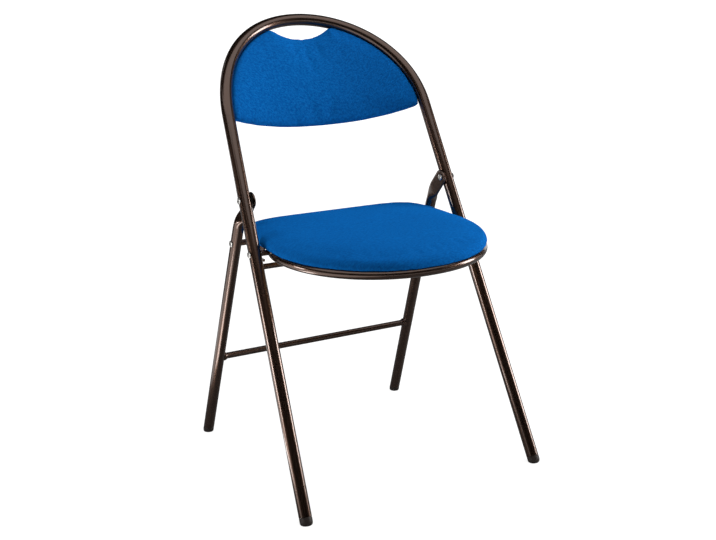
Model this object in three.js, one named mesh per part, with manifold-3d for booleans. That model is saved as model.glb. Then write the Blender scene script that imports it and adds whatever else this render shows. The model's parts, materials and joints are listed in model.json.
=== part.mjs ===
// Folding chair on a hoop of steel tube, with a padded seat on a round tube ring and a half-moon back pad.
// Millimetres, +Z up. The chair faces -Y, and X is its width. Angles are in degrees until they are used.

import * as THREE from 'three';
import { mergeVertices } from 'three/addons/utils/BufferGeometryUtils.js';
import Module from 'manifold-3d';

const wasm = await Module();
wasm.setup();

const rad = THREE.MathUtils.degToRad;

// Gaps between pieces
const seatGap = 0.3;
const runningGap = 0.3;
const padGap = 0.5;

// Overrun of cutting bodies past what they cut
const overrun = 4;

// Main frame: one tube from foot to foot, bent into a hoop at the top
const frameTube = 22;
const frameWall = 1.5;
const frameLean = 28.04;
const frontFeetSpacing = 476.3;
const hoopRadius = 205.3;
const hoopCentreLength = 696.5;
const hoopBow = 45.2;

// Rear legs, hinged to the frame by their flattened and bent top ends
const legTube = 20;
const legWall = 1.5;
const rearFeetSpacing = 429.7;
const feetSpan = 437.5;
const legPivotOffset = 22.88;
const legPivotSetIn = 8.57;
const legBendLength = 56;
const legBendRadius = 60;
const legFlatLength = 26;
const legRoundLength = 66;

// Pivots: the leg's up the leaning frame, the seat's below it, and the slot pin below the ring's plane
const legPivotLength = 554.7;
const seatPivotDrop = 95.8;
const slotPinDrop = 7.09;

// Rivets
const rivetShank = 6;
const rivetHead = 12;
const rivetHeadHeight = 2.8;
const washerThickness = 1;
const slotPinSleeve = 11;
const bushTube = 10;
const ringHeadGap = 1.5;

// Cross bars, the front one below the seat pivot and behind the frame
const frontBarTube = 10;
const frontBarDrop = 20.9;
const frontBarOffset = 13.5;
const rearBarTube = 12;
const rearBarLength = 174;

// Feet
const footHeadLength = 12;
const footPlugLength = 18;
const footDome = 4;
const footRimShares = [[0.5, -0.85], [0.8, -0.4], [0.95, 0.3]];

// Seat ring, on a plane through the seat pivot that rises to the rear, set in from the frame's sides
const ringTube = 16;
const ringWall = 1.5;
const seatSlope = 2.06;
const ringSetIn = 24.05;
const ringForward = 43.9;
const ringFrontDepth = 169.7;
const ringRearDepth = 125.5;
const ringFrontPower = 2.08;
const ringRearPower = 2.2;

// Seat pad and the board in its underside, reaching back past the end of the slots
const seatSetIn = 14.15;
const seatForward = 35;
const seatFrontDepth = 185.4;
const seatPastSlot = 34.37;
const seatFrontPower = 2.08;
const seatRearPower = 6;
const seatTaperShare = 0.055;
const seatSide = 15;
const seatCrown = 7;
const seatDrawIn = 7;
const seatSideShares = [[0.25, 0.08], [0, 0.3], [0.2, 0.6], [0.6, 0.85]];
const seatFaceShares = [0.965, 0.9, 0.78, 0.6, 0.3];
const boardThickness = 8;
const boardInset = 14;

// Back pad and its board, both bowed like the hoop and set in from it
const backSetIn = 12.7;
const backLowerEdge = 0.5;
const backCornerRadius = 16;
const backBehind = 9;
const backProud = 8;
const backCrown = 5;
const backDrawIn = 5;
const backMiddleShare = 0.42;
const backSideShares = [[0.33, 0.21], [0, 0.53], [0.25, 0.76]];
const backFaceShares = [0.94, 0.8, 0.6, 0.3];
const backBoardThickness = 6;
const backBoardInset = 13;
const gripHalfWidth = 62;
const gripDepth = 15.5;

// Welded tabs and their screws, at angles round the hoop and round the ring
const backTabAngles = [22, 52, 128, 158];
const seatTabAngles = [42, 138, 228, 312];
const tabLength = 38;
const tabHoleInset = 7;
const tabWidth = 16;
const tabThickness = 2.5;
const screwShank = 4;
const screwHead = 8;
const screwHeadHeight = 2.2;
const screwBite = 4.5;

// Slotted plates under the seat, from behind the end of the slot forwards
const slideThickness = 3;
const slideSetIn = 12.75;
const slideBehind = 9.67;
const slideLength = 72;
const slideFlangeLength = 62;
const slideFlangeWidth = 20;
const slideMargin = 4.6;
const slotPinPlay = 1;
const slideScrewShares = [0.2, 0.58];

// Facets
const tubeSides = 16;
const boreSides = 12;
const smallSides = 10;
const eyeSides = 32;
const padSides = 56;
const hoopSteps = 28;
const ringSteps = 20;
const tongueSteps = 9;
const slotSteps = 10;
const cornerSteps = 5;
const rimSteps = 9;
const dipSteps = 5;
const lowerEdgeSteps = 6;
const roundPower = 2;
const tonguePower = 6;

// Finishes
const paint = { color: 0x2c1d17, roughness: 0.28, metalness: 0.35 };
const cloth = { color: 0x0b56b8, roughness: 0.92, metalness: 0 };
const plastic = { color: 0x2a201c, roughness: 0.6, metalness: 0 };
const steel = { color: 0x35261f, roughness: 0.35, metalness: 0.6 };
const brightSteel = { color: 0xb9b6b0, roughness: 0.3, metalness: 0.9 };
const ply = { color: 0xa98358, roughness: 0.8, metalness: 0 };

// The frame's sides run straight from the feet to where they touch the hoop's circle
const lean = rad(frameLean);
const slope = rad(seatSlope);
const frontHalf = frontFeetSpacing / 2;
const frameReach = Math.hypot(frontHalf, hoopCentreLength);
const taper = Math.acos(hoopRadius / frameReach) - Math.atan2(hoopCentreLength, frontHalf);
const bendHalf = hoopRadius * Math.cos(taper);
const frameHalf = (length) => frontHalf - length * Math.tan(taper);
const bow = (x) => hoopBow * (1 - (x / bendHalf) ** 2);

// Places in the side view, as (rearward, up) from the line of the front feet on the floor
const origin = new THREE.Vector2();
const seatPivotLength = legPivotLength - seatPivotDrop;
const frontBarLength = seatPivotLength - frontBarDrop;
const framePoint = (length) => new THREE.Vector2(length * Math.sin(lean), length * Math.cos(lean));
const legPivot = framePoint(legPivotLength);
const seatPivot = framePoint(seatPivotLength);
const rearFoot = new THREE.Vector2(feetSpan, 0);

// The rear leg leans so that its axis passes behind the pivot by the pivot's offset
const pivotReach = legPivot.clone().sub(rearFoot);
const legTilt = Math.atan2(-pivotReach.x, pivotReach.y) - Math.asin(legPivotOffset / pivotReach.length());
const inLeg = pivotReach.clone().rotateAround(origin, -legTilt);
const rearTaper = Math.atan((rearFeetSpacing / 2 - frameHalf(legPivotLength) + legPivotSetIn) / inLeg.y);
const legHalf = (length) => rearFeetSpacing / 2 - length * Math.tan(rearTaper);

// The slot pin sits on the leg's axis where this crosses a plane below the ring's
const seatNormal = new THREE.Vector2(0, 1).rotateAround(origin, slope);
const slotPinRise = seatPivot.clone().sub(rearFoot).dot(seatNormal) - slotPinDrop;
const slotPinLength = slotPinRise / Math.cos(legTilt - slope);
const slotPin = new THREE.Vector2(0, slotPinLength).rotateAround(origin, legTilt).add(rearFoot);

// A place of the side view in the seat's own view: rearward and up from the seat pivot
const inSeat = (place) => place.clone().sub(seatPivot).rotateAround(origin, -slope);

// Widths that follow the frame's, and the seat's depth that follows the slots'
const ringHalfWidth = frameHalf(seatPivotLength) - ringSetIn;
const seatHalfWidth = frameHalf(seatPivotLength) - seatSetIn;
const backRadius = hoopRadius - backSetIn;
const slotMiddle = inSeat(legPivot);
const slotEnd = inSeat(slotPin);
const slotRadius = slotMiddle.distanceTo(slotEnd);
const seatRearDepth = slotEnd.x + seatPastSlot + seatForward;

// Solids: closed meshes in and out of the boolean library

function solid(geometry) {
  const bare = geometry.clone();
  bare.deleteAttribute('normal');
  bare.deleteAttribute('uv');
  const merged = mergeVertices(bare);
  const vertProperties = new Float32Array(merged.attributes.position.array);
  const triVerts = new Uint32Array(merged.index.array);
  const body = new wasm.Manifold(new wasm.Mesh({ numProp: 3, vertProperties, triVerts }));
  if (body.volume() > 0) {
    return body;
  }
  return new wasm.Manifold(new wasm.Mesh({ numProp: 3, vertProperties, triVerts: triVerts.reverse() }));
}

function shell(body) {
  const mesh = body.getMesh();
  const geometry = new THREE.BufferGeometry();
  geometry.setAttribute('position', new THREE.BufferAttribute(mesh.vertProperties, mesh.numProp));
  geometry.setIndex(new THREE.BufferAttribute(mesh.triVerts, 1));
  geometry.computeVertexNormals();
  return geometry;
}

const join = (...bodies) => bodies.reduce((whole, body) => whole.add(body));
const cut = (body, ...tools) => tools.reduce((rest, tool) => rest.subtract(tool), body);

function piece(name, body, finish) {
  const mesh = new THREE.Mesh(shell(body), new THREE.MeshStandardMaterial(finish));
  mesh.name = name;
  return mesh;
}

// Shapes

// Closed surface through a row of equal rings of points, each end filled by a fan from its middle
function loft(rings) {
  const count = rings[0].length;
  const middle = (ring) => ring.reduce((sum, p) => sum.add(p), new THREE.Vector3()).divideScalar(count);
  const points = [...rings.flat(), middle(rings[0]), middle(rings.at(-1))];
  const first = rings.length * count;
  const index = [];
  for (let i = 0; i < count; i += 1) {
    const next = (i + 1) % count;
    for (let k = 0; k < rings.length - 1; k += 1) {
      const low = k * count;
      const high = low + count;
      index.push(low + i, low + next, high + next, low + i, high + next, high + i);
    }
    index.push(first, next, i);
    index.push(first + 1, first - count + i, first - count + next);
  }
  const geometry = new THREE.BufferGeometry().setFromPoints(points);
  geometry.setIndex(index);
  return geometry;
}

function polygon(radius, sides) {
  const points = [];
  for (let i = 0; i < sides; i += 1) {
    const angle = (2 * Math.PI * i) / sides;
    points.push(new THREE.Vector2(radius * Math.cos(angle), radius * Math.sin(angle)));
  }
  return new THREE.Shape(points);
}

// Path with stations of its own, so that straight lengths cost no facets
class Stations extends THREE.Curve {
  constructor(points, tangents) {
    super();
    this.points = points;
    this.tangents = tangents;
  }

  station(share) {
    return Math.round(share * (this.points.length - 1));
  }

  getPointAt(share) {
    return this.points[this.station(share)].clone();
  }

  getTangentAt(share) {
    return this.tangents[this.station(share)].clone();
  }
}

function tube(path, radius, sides) {
  const steps = path.points.length - 1;
  const options = { steps, extrudePath: path, bevelEnabled: false };
  return solid(new THREE.ExtrudeGeometry(polygon(radius, sides), options));
}

// Sheet cut to an outline in the side view, from one place on X for a width
function sheetX(points, from, width) {
  const options = { depth: width, bevelEnabled: false };
  const geometry = new THREE.ExtrudeGeometry(new THREE.Shape(points), options);
  const place = new THREE.Matrix4().makeBasis(
    new THREE.Vector3(0, 1, 0),
    new THREE.Vector3(0, 0, 1),
    new THREE.Vector3(1, 0, 0)
  );
  place.setPosition(from, 0, 0);
  geometry.applyMatrix4(place);
  return solid(geometry);
}

// Rod along X between two places
function rodX(from, to, radius, y, z, sides = smallSides) {
  const geometry = new THREE.CylinderGeometry(radius, radius, Math.abs(to - from), sides);
  geometry.rotateZ(Math.PI / 2);
  geometry.translate((from + to) / 2, y, z);
  return solid(geometry);
}

// Turned piece from a profile of (radius, along), laid along X towards one side
function turnedX(profile, side, y, z, sides = boreSides) {
  const geometry = new THREE.LatheGeometry(profile.map(([r, x]) => new THREE.Vector2(r, x)), sides);
  geometry.rotateZ(-Math.PI / 2);
  if (side < 0) {
    geometry.rotateZ(Math.PI);
  }
  geometry.translate(0, y, z);
  return solid(geometry);
}

// Rivet heads on both ends of a shank, as a profile along the axis
function rivetProfile(inner, outer) {
  const shank = rivetShank / 2;
  const head = rivetHead / 2;
  const crown = head / 2;
  return [
    [0, inner - rivetHeadHeight],
    [crown, inner - rivetHeadHeight],
    [head, inner - rivetHeadHeight / 3],
    [head, inner],
    [shank, inner],
    [shank, outer],
    [head, outer],
    [head, outer + rivetHeadHeight / 3],
    [crown, outer + rivetHeadHeight],
    [0, outer + rivetHeadHeight],
  ];
}

// Rod between two places
function rodBetween(from, to, radius, sides) {
  const length = from.distanceTo(to);
  const along = to.clone().sub(from).normalize();
  const turn = new THREE.Quaternion().setFromUnitVectors(new THREE.Vector3(0, 1, 0), along);
  const geometry = new THREE.CylinderGeometry(radius, radius, length, sides);
  geometry.translate(0, length / 2, 0);
  geometry.applyQuaternion(turn);
  geometry.translate(from.x, from.y, from.z);
  return solid(geometry);
}

// Rod along the local Y of a place, from one depth to another
function rodAlong(place, radius, from, to) {
  const geometry = new THREE.CylinderGeometry(radius, radius, to - from, smallSides);
  geometry.translate(0, (from + to) / 2, 0);
  geometry.applyMatrix4(place);
  return solid(geometry);
}

// Screw along the local -Y of a place: head, shank through the plate that it grips, bite in the board
function screw(place, grip) {
  const head = screwHead / 2;
  const shank = screwShank / 2;
  const under = grip + seatGap;
  const profile = [
    [0, -screwBite],
    [shank, -screwBite],
    [shank, under],
    [head, under],
    [head, under + screwHeadHeight / 2],
    [head / 2, under + screwHeadHeight],
    [0, under + screwHeadHeight],
  ];
  const geometry = new THREE.LatheGeometry(profile.map(([r, y]) => new THREE.Vector2(r, y)), smallSides);
  geometry.applyMatrix4(place);
  return solid(geometry);
}

// Domed foot with a plug for the tube's end, its sole cut flat on the floor
function foot(tubeSize, wall, place, floor) {
  const outer = tubeSize / 2;
  const plug = (outer - wall) * Math.cos(Math.PI / boreSides) - seatGap;
  const top = footHeadLength - seatGap;
  const profile = [
    [0, -footDome],
    ...footRimShares.map(([out, up]) => [outer * out, footDome * up]),
    [outer, footDome],
    [outer, top],
    [plug, top],
    [plug, footHeadLength + footPlugLength],
    [0, footHeadLength + footPlugLength],
  ];
  const geometry = new THREE.LatheGeometry(profile.map(([r, z]) => new THREE.Vector2(r, z)), tubeSides);
  geometry.rotateX(Math.PI / 2);
  geometry.applyMatrix4(place);
  return cut(solid(geometry), floor);
}

// Block below the floor, seen from a frame that is tipped about X
function floorBlock(tip, y) {
  const size = frontFeetSpacing * 2;
  const geometry = new THREE.BoxGeometry(size, size, size);
  geometry.translate(0, -y, -size / 2);
  geometry.rotateX(-tip);
  return solid(geometry);
}

// Superellipse outline of one loop, squarer at the rear than at the front, where it also tapers
function oval(half, frontDepth, rearDepth, frontPower, rearPower, taperShare, count) {
  const points = [];
  for (let i = 0; i < count; i += 1) {
    const angle = (2 * Math.PI * i) / count;
    const power = Math.sin(angle) < 0 ? frontPower : rearPower;
    const depth = Math.sin(angle) < 0 ? frontDepth : rearDepth;
    const x = half * Math.sign(Math.cos(angle)) * Math.abs(Math.cos(angle)) ** (2 / power);
    const y = depth * Math.sign(Math.sin(angle)) * Math.abs(Math.sin(angle)) ** (2 / power);
    const narrowing = 1 - (taperShare * Math.max(y, 0)) / rearDepth;
    points.push(new THREE.Vector2(x * narrowing, y));
  }
  return points;
}

// Main frame

// Axis of the frame tube: foot, straight side, bowed hoop, straight side, foot
function hoopPath(start) {
  const points = [];
  const tangents = [];
  points.push(new THREE.Vector3(frameHalf(start), 0, start));
  tangents.push(new THREE.Vector3(-Math.sin(taper), 0, Math.cos(taper)));
  for (let i = 0; i <= hoopSteps; i += 1) {
    const angle = taper + ((Math.PI - 2 * taper) * i) / hoopSteps;
    const x = hoopRadius * Math.cos(angle);
    points.push(new THREE.Vector3(x, bow(x), hoopCentreLength + hoopRadius * Math.sin(angle)));
    const turn = new THREE.Vector3(-Math.sin(angle), 0, Math.cos(angle));
    turn.y = ((-2 * hoopBow * x) / bendHalf ** 2) * turn.x;
    tangents.push(turn.normalize());
  }
  points.push(new THREE.Vector3(-frameHalf(start), 0, start));
  tangents.push(new THREE.Vector3(-Math.sin(taper), 0, -Math.cos(taper)));
  return new Stations(points, tangents);
}

const backTabDepth = backBehind + seatGap;
const backTabRadius = hoopRadius - tabLength / 2;
const backScrewRadius = hoopRadius - tabLength + tabHoleInset;

// Direction of the bowed surface across the width, at one place
const bowTurn = (x) => Math.atan((-2 * hoopBow * x) / bendHalf ** 2);

// Place on the bowed surface: angle and radius from the hoop's middle, depth behind the tube's axis
function onBow(angle, radius, depth) {
  const x = radius * Math.cos(angle);
  const turn = bowTurn(x);
  const z = hoopCentreLength + radius * Math.sin(angle);
  return new THREE.Matrix4()
    .makeTranslation(x - depth * Math.sin(turn), bow(x) + depth * Math.cos(turn), z)
    .multiply(new THREE.Matrix4().makeRotationZ(turn))
    .multiply(new THREE.Matrix4().makeRotationY(-angle));
}

const backScrewPlaces = backTabAngles.map((angle) => onBow(rad(angle), backScrewRadius, backTabDepth));

function hoopFrame() {
  const outer = tube(hoopPath(footHeadLength), frameTube / 2, tubeSides);
  const bore = tube(hoopPath(footHeadLength - overrun), frameTube / 2 - frameWall, boreSides);
  const tabs = backTabAngles.map((angle) => {
    const plate = new THREE.BoxGeometry(tabLength, tabThickness, tabWidth);
    plate.applyMatrix4(onBow(rad(angle), backTabRadius, backTabDepth + tabThickness / 2));
    return solid(plate);
  });
  const screwHoles = backScrewPlaces.map((place) =>
    rodAlong(place, screwShank / 2 + runningGap, -overrun, tabThickness + overrun)
  );
  const pivotHoles = [-1, 1].flatMap((side) =>
    [legPivotLength, seatPivotLength].map((length) => {
      const middle = side * frameHalf(length);
      return rodX(middle - frameTube, middle + frameTube, rivetShank / 2 + runningGap, 0, length);
    })
  );
  return cut(join(outer, ...tabs), bore, ...screwHoles, ...pivotHoles);
}

// Thin bar across the backs of the frame's sides, coped to them
function frontBar() {
  const reach = frameHalf(frontBarLength);
  const bar = rodX(-reach, reach, frontBarTube / 2, frontBarOffset, frontBarLength, boreSides);
  const clearance = tube(hoopPath(0), frameTube / 2 + seatGap, tubeSides);
  return cut(bar, clearance);
}

// Half-disc outline with round lower corners and a dip for the hand, drawn in by an inset
function backOutline(inset) {
  const radius = backRadius - inset;
  const low = backLowerEdge + inset;
  const corner = backCornerRadius;
  const cornerX = Math.sqrt((radius - corner) ** 2 - (low + corner) ** 2);
  const cornerAngle = Math.atan2(low + corner, cornerX);
  const dipRise = Math.sqrt(backRadius ** 2 - gripHalfWidth ** 2);
  const dipRadius = (gripHalfWidth ** 2 + gripDepth ** 2) / (2 * gripDepth);
  const dipCentre = dipRise - gripDepth + dipRadius;
  const dipReach = dipRadius + inset;
  const dipTop = (radius ** 2 - dipReach ** 2 + dipCentre ** 2) / (2 * dipCentre);
  const tipAngle = Math.asin(dipTop / radius);
  const dipAngle = Math.asin((dipCentre - dipTop) / dipReach);
  const half = [];
  arc(half, cornerX, low + corner, corner, -Math.PI / 2, cornerAngle, cornerSteps);
  arc(half, 0, 0, radius, cornerAngle, tipAngle, rimSteps);
  arc(half, 0, dipCentre, dipReach, -dipAngle, -Math.PI / 2, dipSteps);
  const mirrored = half.slice(0, -1).reverse().map((p) => new THREE.Vector2(-p.x, p.y));
  const lowerEdge = [];
  for (let i = 1; i < lowerEdgeSteps; i += 1) {
    lowerEdge.push(new THREE.Vector2(cornerX * ((2 * i) / lowerEdgeSteps - 1), low));
  }
  return [...half, ...mirrored, ...lowerEdge];
}

// Adds an arc's points, leaving out the first where the outline already has it
function arc(points, x, y, radius, from, to, steps) {
  for (let i = points.length ? 1 : 0; i <= steps; i += 1) {
    const angle = from + ((to - from) * i) / steps;
    points.push(new THREE.Vector2(x + radius * Math.cos(angle), y + radius * Math.sin(angle)));
  }
}

// Ring of points on the bowed surface: an outline shrunk by a share towards its middle, and its depth
function bowedRing(outline, share, proud) {
  const middle = new THREE.Vector2(0, backRadius * backMiddleShare);
  return outline.map((p) => {
    const q = p.clone().sub(middle).multiplyScalar(share).add(middle);
    const turn = bowTurn(q.x);
    const x = q.x + proud * Math.sin(turn);
    return new THREE.Vector3(x, bow(q.x) - proud * Math.cos(turn), hoopCentreLength + q.y);
  });
}

function backPad() {
  const face = backOutline(backDrawIn);
  const thickness = backBehind + backProud;
  const rings = backFaceShares.toReversed().map((share) => bowedRing(face, share, -backBehind));
  rings.push(bowedRing(face, 1, -backBehind));
  backSideShares.forEach(([drawIn, depth]) => {
    rings.push(bowedRing(backOutline(backDrawIn * drawIn), 1, thickness * depth - backBehind));
  });
  rings.push(bowedRing(face, 1, backProud));
  backFaceShares.forEach((share) => {
    rings.push(bowedRing(face, share, backProud + backCrown * (1 - share ** 3)));
  });
  return cut(solid(loft(rings)), backBoardBody(padGap, overrun));
}

function backBoardBody(clearance, behind) {
  const outline = backOutline(backBoardInset - clearance);
  const front = backBoardThickness - backBehind + clearance;
  const rear = -backBehind - behind;
  const rings = backFaceShares.toReversed().map((share) => bowedRing(outline, share, rear));
  rings.push(bowedRing(outline, 1, rear));
  rings.push(bowedRing(outline, 1, front));
  backFaceShares.forEach((share) => rings.push(bowedRing(outline, share, front)));
  return solid(loft(rings));
}

function backBoard() {
  const holes = backScrewPlaces.map((place) =>
    rodAlong(place, screwShank / 2 + runningGap, -screwBite - runningGap, overrun)
  );
  return cut(backBoardBody(0, 0), ...holes);
}

// Rear legs

// A leg's axis rises from the floor, bends towards the pivot and ends there in a flat tongue
const bendAngle = Math.atan2(-inLeg.x, legBendLength);
const bendTangent = legBendRadius * Math.tan(bendAngle / 2);
const bendStart = legBendLength / Math.cos(bendAngle) - bendTangent;
const legLength = bendStart + legBendRadius * bendAngle + inLeg.y - legBendLength - bendTangent;
const tongueHalf = (Math.PI * (legTube - 2 * legWall)) / 4 + legWall;
const tongueOuter = frameHalf(legPivotLength) - frameTube / 2 - washerThickness - 2 * seatGap;
const tongueMiddle = tongueOuter - legWall;

// Station of the leg at a distance from the pivot: place and slant in the side view, and its section
function legStation(length) {
  const bendTurn = Math.min(Math.max((length - bendStart) / legBendRadius, 0), bendAngle);
  const place = new THREE.Vector2(0, -Math.min(length, bendStart)).rotateAround(origin, bendAngle);
  const slant = bendAngle - bendTurn;
  place.x += legBendRadius * (Math.cos(slant) - Math.cos(bendAngle));
  place.y -= legBendRadius * (Math.sin(bendAngle) - Math.sin(slant));
  place.y -= Math.max(length - bendStart - legBendRadius * bendAngle, 0);
  place.add(inLeg);
  const span = (length - legFlatLength) / (legRoundLength - legFlatLength);
  const round = THREE.MathUtils.smootherstep(span, 0, 1);
  const thick = legWall + (legTube / 2 - legWall) * round;
  const wide = tongueHalf + (legTube / 2 - tongueHalf) * round;
  const across = tongueMiddle + (legHalf(place.y) - tongueMiddle) * round;
  const power = tonguePower + (roundPower - tonguePower) * round;
  return { place, slant, thick, wide, across, power };
}

function legRing(side, station) {
  return polygon(1, tubeSides).getPoints().slice(0, tubeSides).map((p) => {
    const grow = (value) => Math.sign(value) * Math.abs(value) ** (2 / station.power);
    const y = station.wide * grow(p.y);
    return new THREE.Vector3(
      side * (station.across + station.thick * grow(p.x)),
      station.place.x + y * Math.cos(station.slant),
      station.place.y + y * Math.sin(station.slant)
    );
  });
}


// Axis of a straight leg at a height, on one side
const legAxis = (side, height) => new THREE.Vector3(side * legHalf(height), 0, height);

function rearLeg(side) {
  const lengths = [0];
  for (let i = 0; i <= tongueSteps; i += 1) {
    lengths.push(legFlatLength + ((legRoundLength + overrun - legFlatLength) * i) / tongueSteps);
  }
  lengths.push(legLength - footHeadLength);
  const body = solid(loft(lengths.map((length) => legRing(side, legStation(length)))));
  const tongueInner = tongueOuter - 2 * legWall;
  const eye = rodX(side * tongueInner, side * tongueOuter, tongueHalf, inLeg.x, inLeg.y, eyeSides);
  const boreLow = legAxis(side, footHeadLength - overrun);
  const boreHigh = legAxis(side, legLength - legRoundLength - overrun);
  const bore = rodBetween(boreLow, boreHigh, legTube / 2 - legWall, boreSides);
  const hole = rivetShank / 2 + runningGap;
  const holeFrom = side * (tongueInner - overrun);
  const holeTo = side * (tongueOuter + overrun);
  const pivotHole = rodX(holeFrom, holeTo, hole, inLeg.x, inLeg.y);
  const middle = side * legHalf(slotPinLength);
  const pinHole = rodX(middle - legTube, middle + legTube, hole, 0, slotPinLength);
  return cut(join(body, eye), bore, pivotHole, pinHole);
}

function rearBar() {
  const reach = legHalf(rearBarLength);
  const bar = rodX(-reach, reach, rearBarTube / 2, 0, rearBarLength, boreSides);
  const clearances = [-1, 1].map((side) =>
    rodBetween(legAxis(side, 0), legAxis(side, slotPinLength), legTube / 2 + seatGap, tubeSides)
  );
  return cut(bar, ...clearances);
}

const slideFace = legHalf(slotPinLength) - legTube / 2 - slideSetIn;

// Rivet through the leg with a sleeve that reaches the slotted plate
function slotPinBody(side) {
  const outer = legHalf(slotPinLength) + legTube / 2 + seatGap;
  const inner = legHalf(slotPinLength) - legTube / 2 - seatGap;
  const profile = [
    [0, slideFace + runningGap],
    [slotPinSleeve / 2, slideFace + runningGap],
    [slotPinSleeve / 2, inner],
    [rivetShank / 2, inner],
    ...rivetProfile(inner, outer).slice(5),
  ];
  return turnedX(profile, side, 0, slotPinLength);
}

// Seat, in its own view: rearward and up from the seat pivot, with the ring's axis at height zero

const ringTop = ringTube / 2;
const padBottom = ringTop + seatGap;

// Half-width of the ring and its turn inwards where the seat pivot crosses it
const pivotShare = ringForward / ringRearDepth;
const ringAtPivot = ringHalfWidth * (1 - pivotShare ** ringRearPower) ** (1 / ringRearPower);
const ringTurn = Math.atan(
  (ringHalfWidth / ringRearDepth) *
    pivotShare ** (ringRearPower - 1) *
    (1 - pivotShare ** ringRearPower) ** (1 / ringRearPower - 1)
);

function ringPoint(angle) {
  const front = Math.sin(angle) < 0;
  const power = front ? ringFrontPower : ringRearPower;
  const depth = front ? ringFrontDepth : ringRearDepth;
  const x = ringHalfWidth * Math.sign(Math.cos(angle)) * Math.abs(Math.cos(angle)) ** (2 / power);
  const y = depth * Math.sign(Math.sin(angle)) * Math.abs(Math.sin(angle)) ** (2 / power);
  return new THREE.Vector3(x, y - ringForward, 0);
}

// One half of the ring, from its widest place on one side to the other
function ringPath(start) {
  const points = [];
  const tangents = [];
  const nudge = Math.PI / ringSteps / 8;
  for (let i = 0; i <= ringSteps; i += 1) {
    const angle = start + (Math.PI * i) / ringSteps;
    points.push(ringPoint(angle));
    tangents.push(ringPoint(angle + nudge).sub(ringPoint(angle - nudge)).normalize());
  }
  points[0].set(ringHalfWidth * Math.cos(start), -ringForward, 0);
  points[ringSteps].set(-ringHalfWidth * Math.cos(start), -ringForward, 0);
  tangents[0].set(0, Math.cos(start), 0);
  tangents[ringSteps].set(0, -Math.cos(start), 0);
  return new Stations(points, tangents);
}

function ringLoop(radius, sides) {
  return join(tube(ringPath(0), radius, sides), tube(ringPath(Math.PI), radius, sides));
}

// Place on a tab of the ring: its top face, at a distance inwards from the tube's axis
function onRing(angle, inwards) {
  const rim = ringPoint(angle);
  const middle = new THREE.Vector3(0, -ringForward, 0);
  const inward = middle.sub(rim).normalize();
  const place = rim.addScaledVector(inward, inwards);
  return new THREE.Matrix4()
    .makeTranslation(place.x, place.y, ringTop)
    .multiply(new THREE.Matrix4().makeRotationZ(Math.atan2(inward.y, inward.x)))
    .multiply(new THREE.Matrix4().makeRotationX(-Math.PI / 2));
}

const seatScrewPlaces = seatTabAngles.map((angle) => onRing(rad(angle), tabLength - tabHoleInset));

function seatRing() {
  const bore = ringLoop(ringTube / 2 - ringWall, boreSides);
  const tabs = seatTabAngles.map((angle) => {
    const plate = new THREE.BoxGeometry(tabLength, tabThickness, tabWidth);
    plate.translate(0, tabThickness / 2, 0);
    plate.applyMatrix4(onRing(rad(angle), tabLength / 2));
    return solid(plate);
  });
  const screwHoles = seatScrewPlaces.map((place) =>
    rodAlong(place, screwShank / 2 + runningGap, -overrun, tabThickness + overrun)
  );
  const hole = rivetShank / 2 + runningGap;
  const pivotHoles = [-1, 1].map((side) =>
    rodX(side * (ringAtPivot - ringTube), side * (ringAtPivot + ringTube), hole, 0, 0)
  );
  return cut(join(ringLoop(ringTube / 2, tubeSides), ...tabs), bore, ...screwHoles, ...pivotHoles);
}

// Spacer on the seat pivot, coped to the ring
function seatBush(side) {
  const outer = frameHalf(seatPivotLength) - frameTube / 2 - (bushTube / 2) * Math.tan(taper) - seatGap;
  const bush = rodX(side * ringAtPivot, side * outer, bushTube / 2, 0, 0, boreSides);
  const hole = rivetShank / 2 + runningGap;
  const bore = rodX(side * (ringAtPivot - overrun), side * (outer + overrun), hole, 0, 0);
  return cut(bush, bore, ringLoop(ringTube / 2 + seatGap, tubeSides));
}

function seatOutline(inset, height, share = 1) {
  const outline = oval(
    (seatHalfWidth - inset) * share,
    (seatFrontDepth - inset) * share,
    (seatRearDepth - inset) * share,
    seatFrontPower,
    seatRearPower,
    seatTaperShare,
    padSides
  );
  return outline.map((p) => new THREE.Vector3(p.x, p.y - seatForward, height));
}

function seatPad() {
  const top = padBottom + seatSide;
  const rings = [seatOutline(seatDrawIn, padBottom)];
  seatSideShares.forEach(([drawIn, height]) => {
    rings.push(seatOutline(seatDrawIn * drawIn, padBottom + seatSide * height));
  });
  rings.push(seatOutline(seatDrawIn, top));
  seatFaceShares.forEach((share) => {
    rings.push(seatOutline(seatDrawIn, top + seatCrown * (1 - share ** 4), share));
  });
  return cut(solid(loft(rings)), seatBoardBody(padGap, overrun));
}

function seatBoardBody(clearance, below) {
  const inset = boardInset - clearance;
  return solid(loft([
    seatOutline(inset, padBottom - below),
    seatOutline(inset, padBottom + boardThickness + clearance),
  ]));
}

function seatBoard() {
  const holes = [...seatScrewPlaces, ...slideScrewPlaces].map((place) =>
    rodAlong(place, screwShank / 2 + runningGap, -screwBite - runningGap, overrun)
  );
  return cut(seatBoardBody(0, 0), ...holes);
}

// Slotted plates: the legs' pins slide in an arc round the leg pivot

const slotHalf = slotPinSleeve / 2 - slotPinPlay;
const slideRear = slotEnd.x + slideBehind;
const slideFront = slideRear - slideLength;
const slideMiddle = slideFace - slideThickness - slideFlangeWidth / 2;
const slideScrewPlaces = [-1, 1].flatMap((side) =>
  slideScrewShares.map((share) =>
    new THREE.Matrix4()
      .makeTranslation(side * slideMiddle, slideRear - slideFlangeLength * (1 - share), ringTop)
      .multiply(new THREE.Matrix4().makeRotationX(-Math.PI / 2))
  )
);

// Place on the arc round the leg pivot, at a distance rearward of the seat pivot
function onArc(radius, y) {
  return new THREE.Vector2(y, slotMiddle.y - Math.sqrt(radius ** 2 - (y - slotMiddle.x) ** 2));
}

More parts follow.
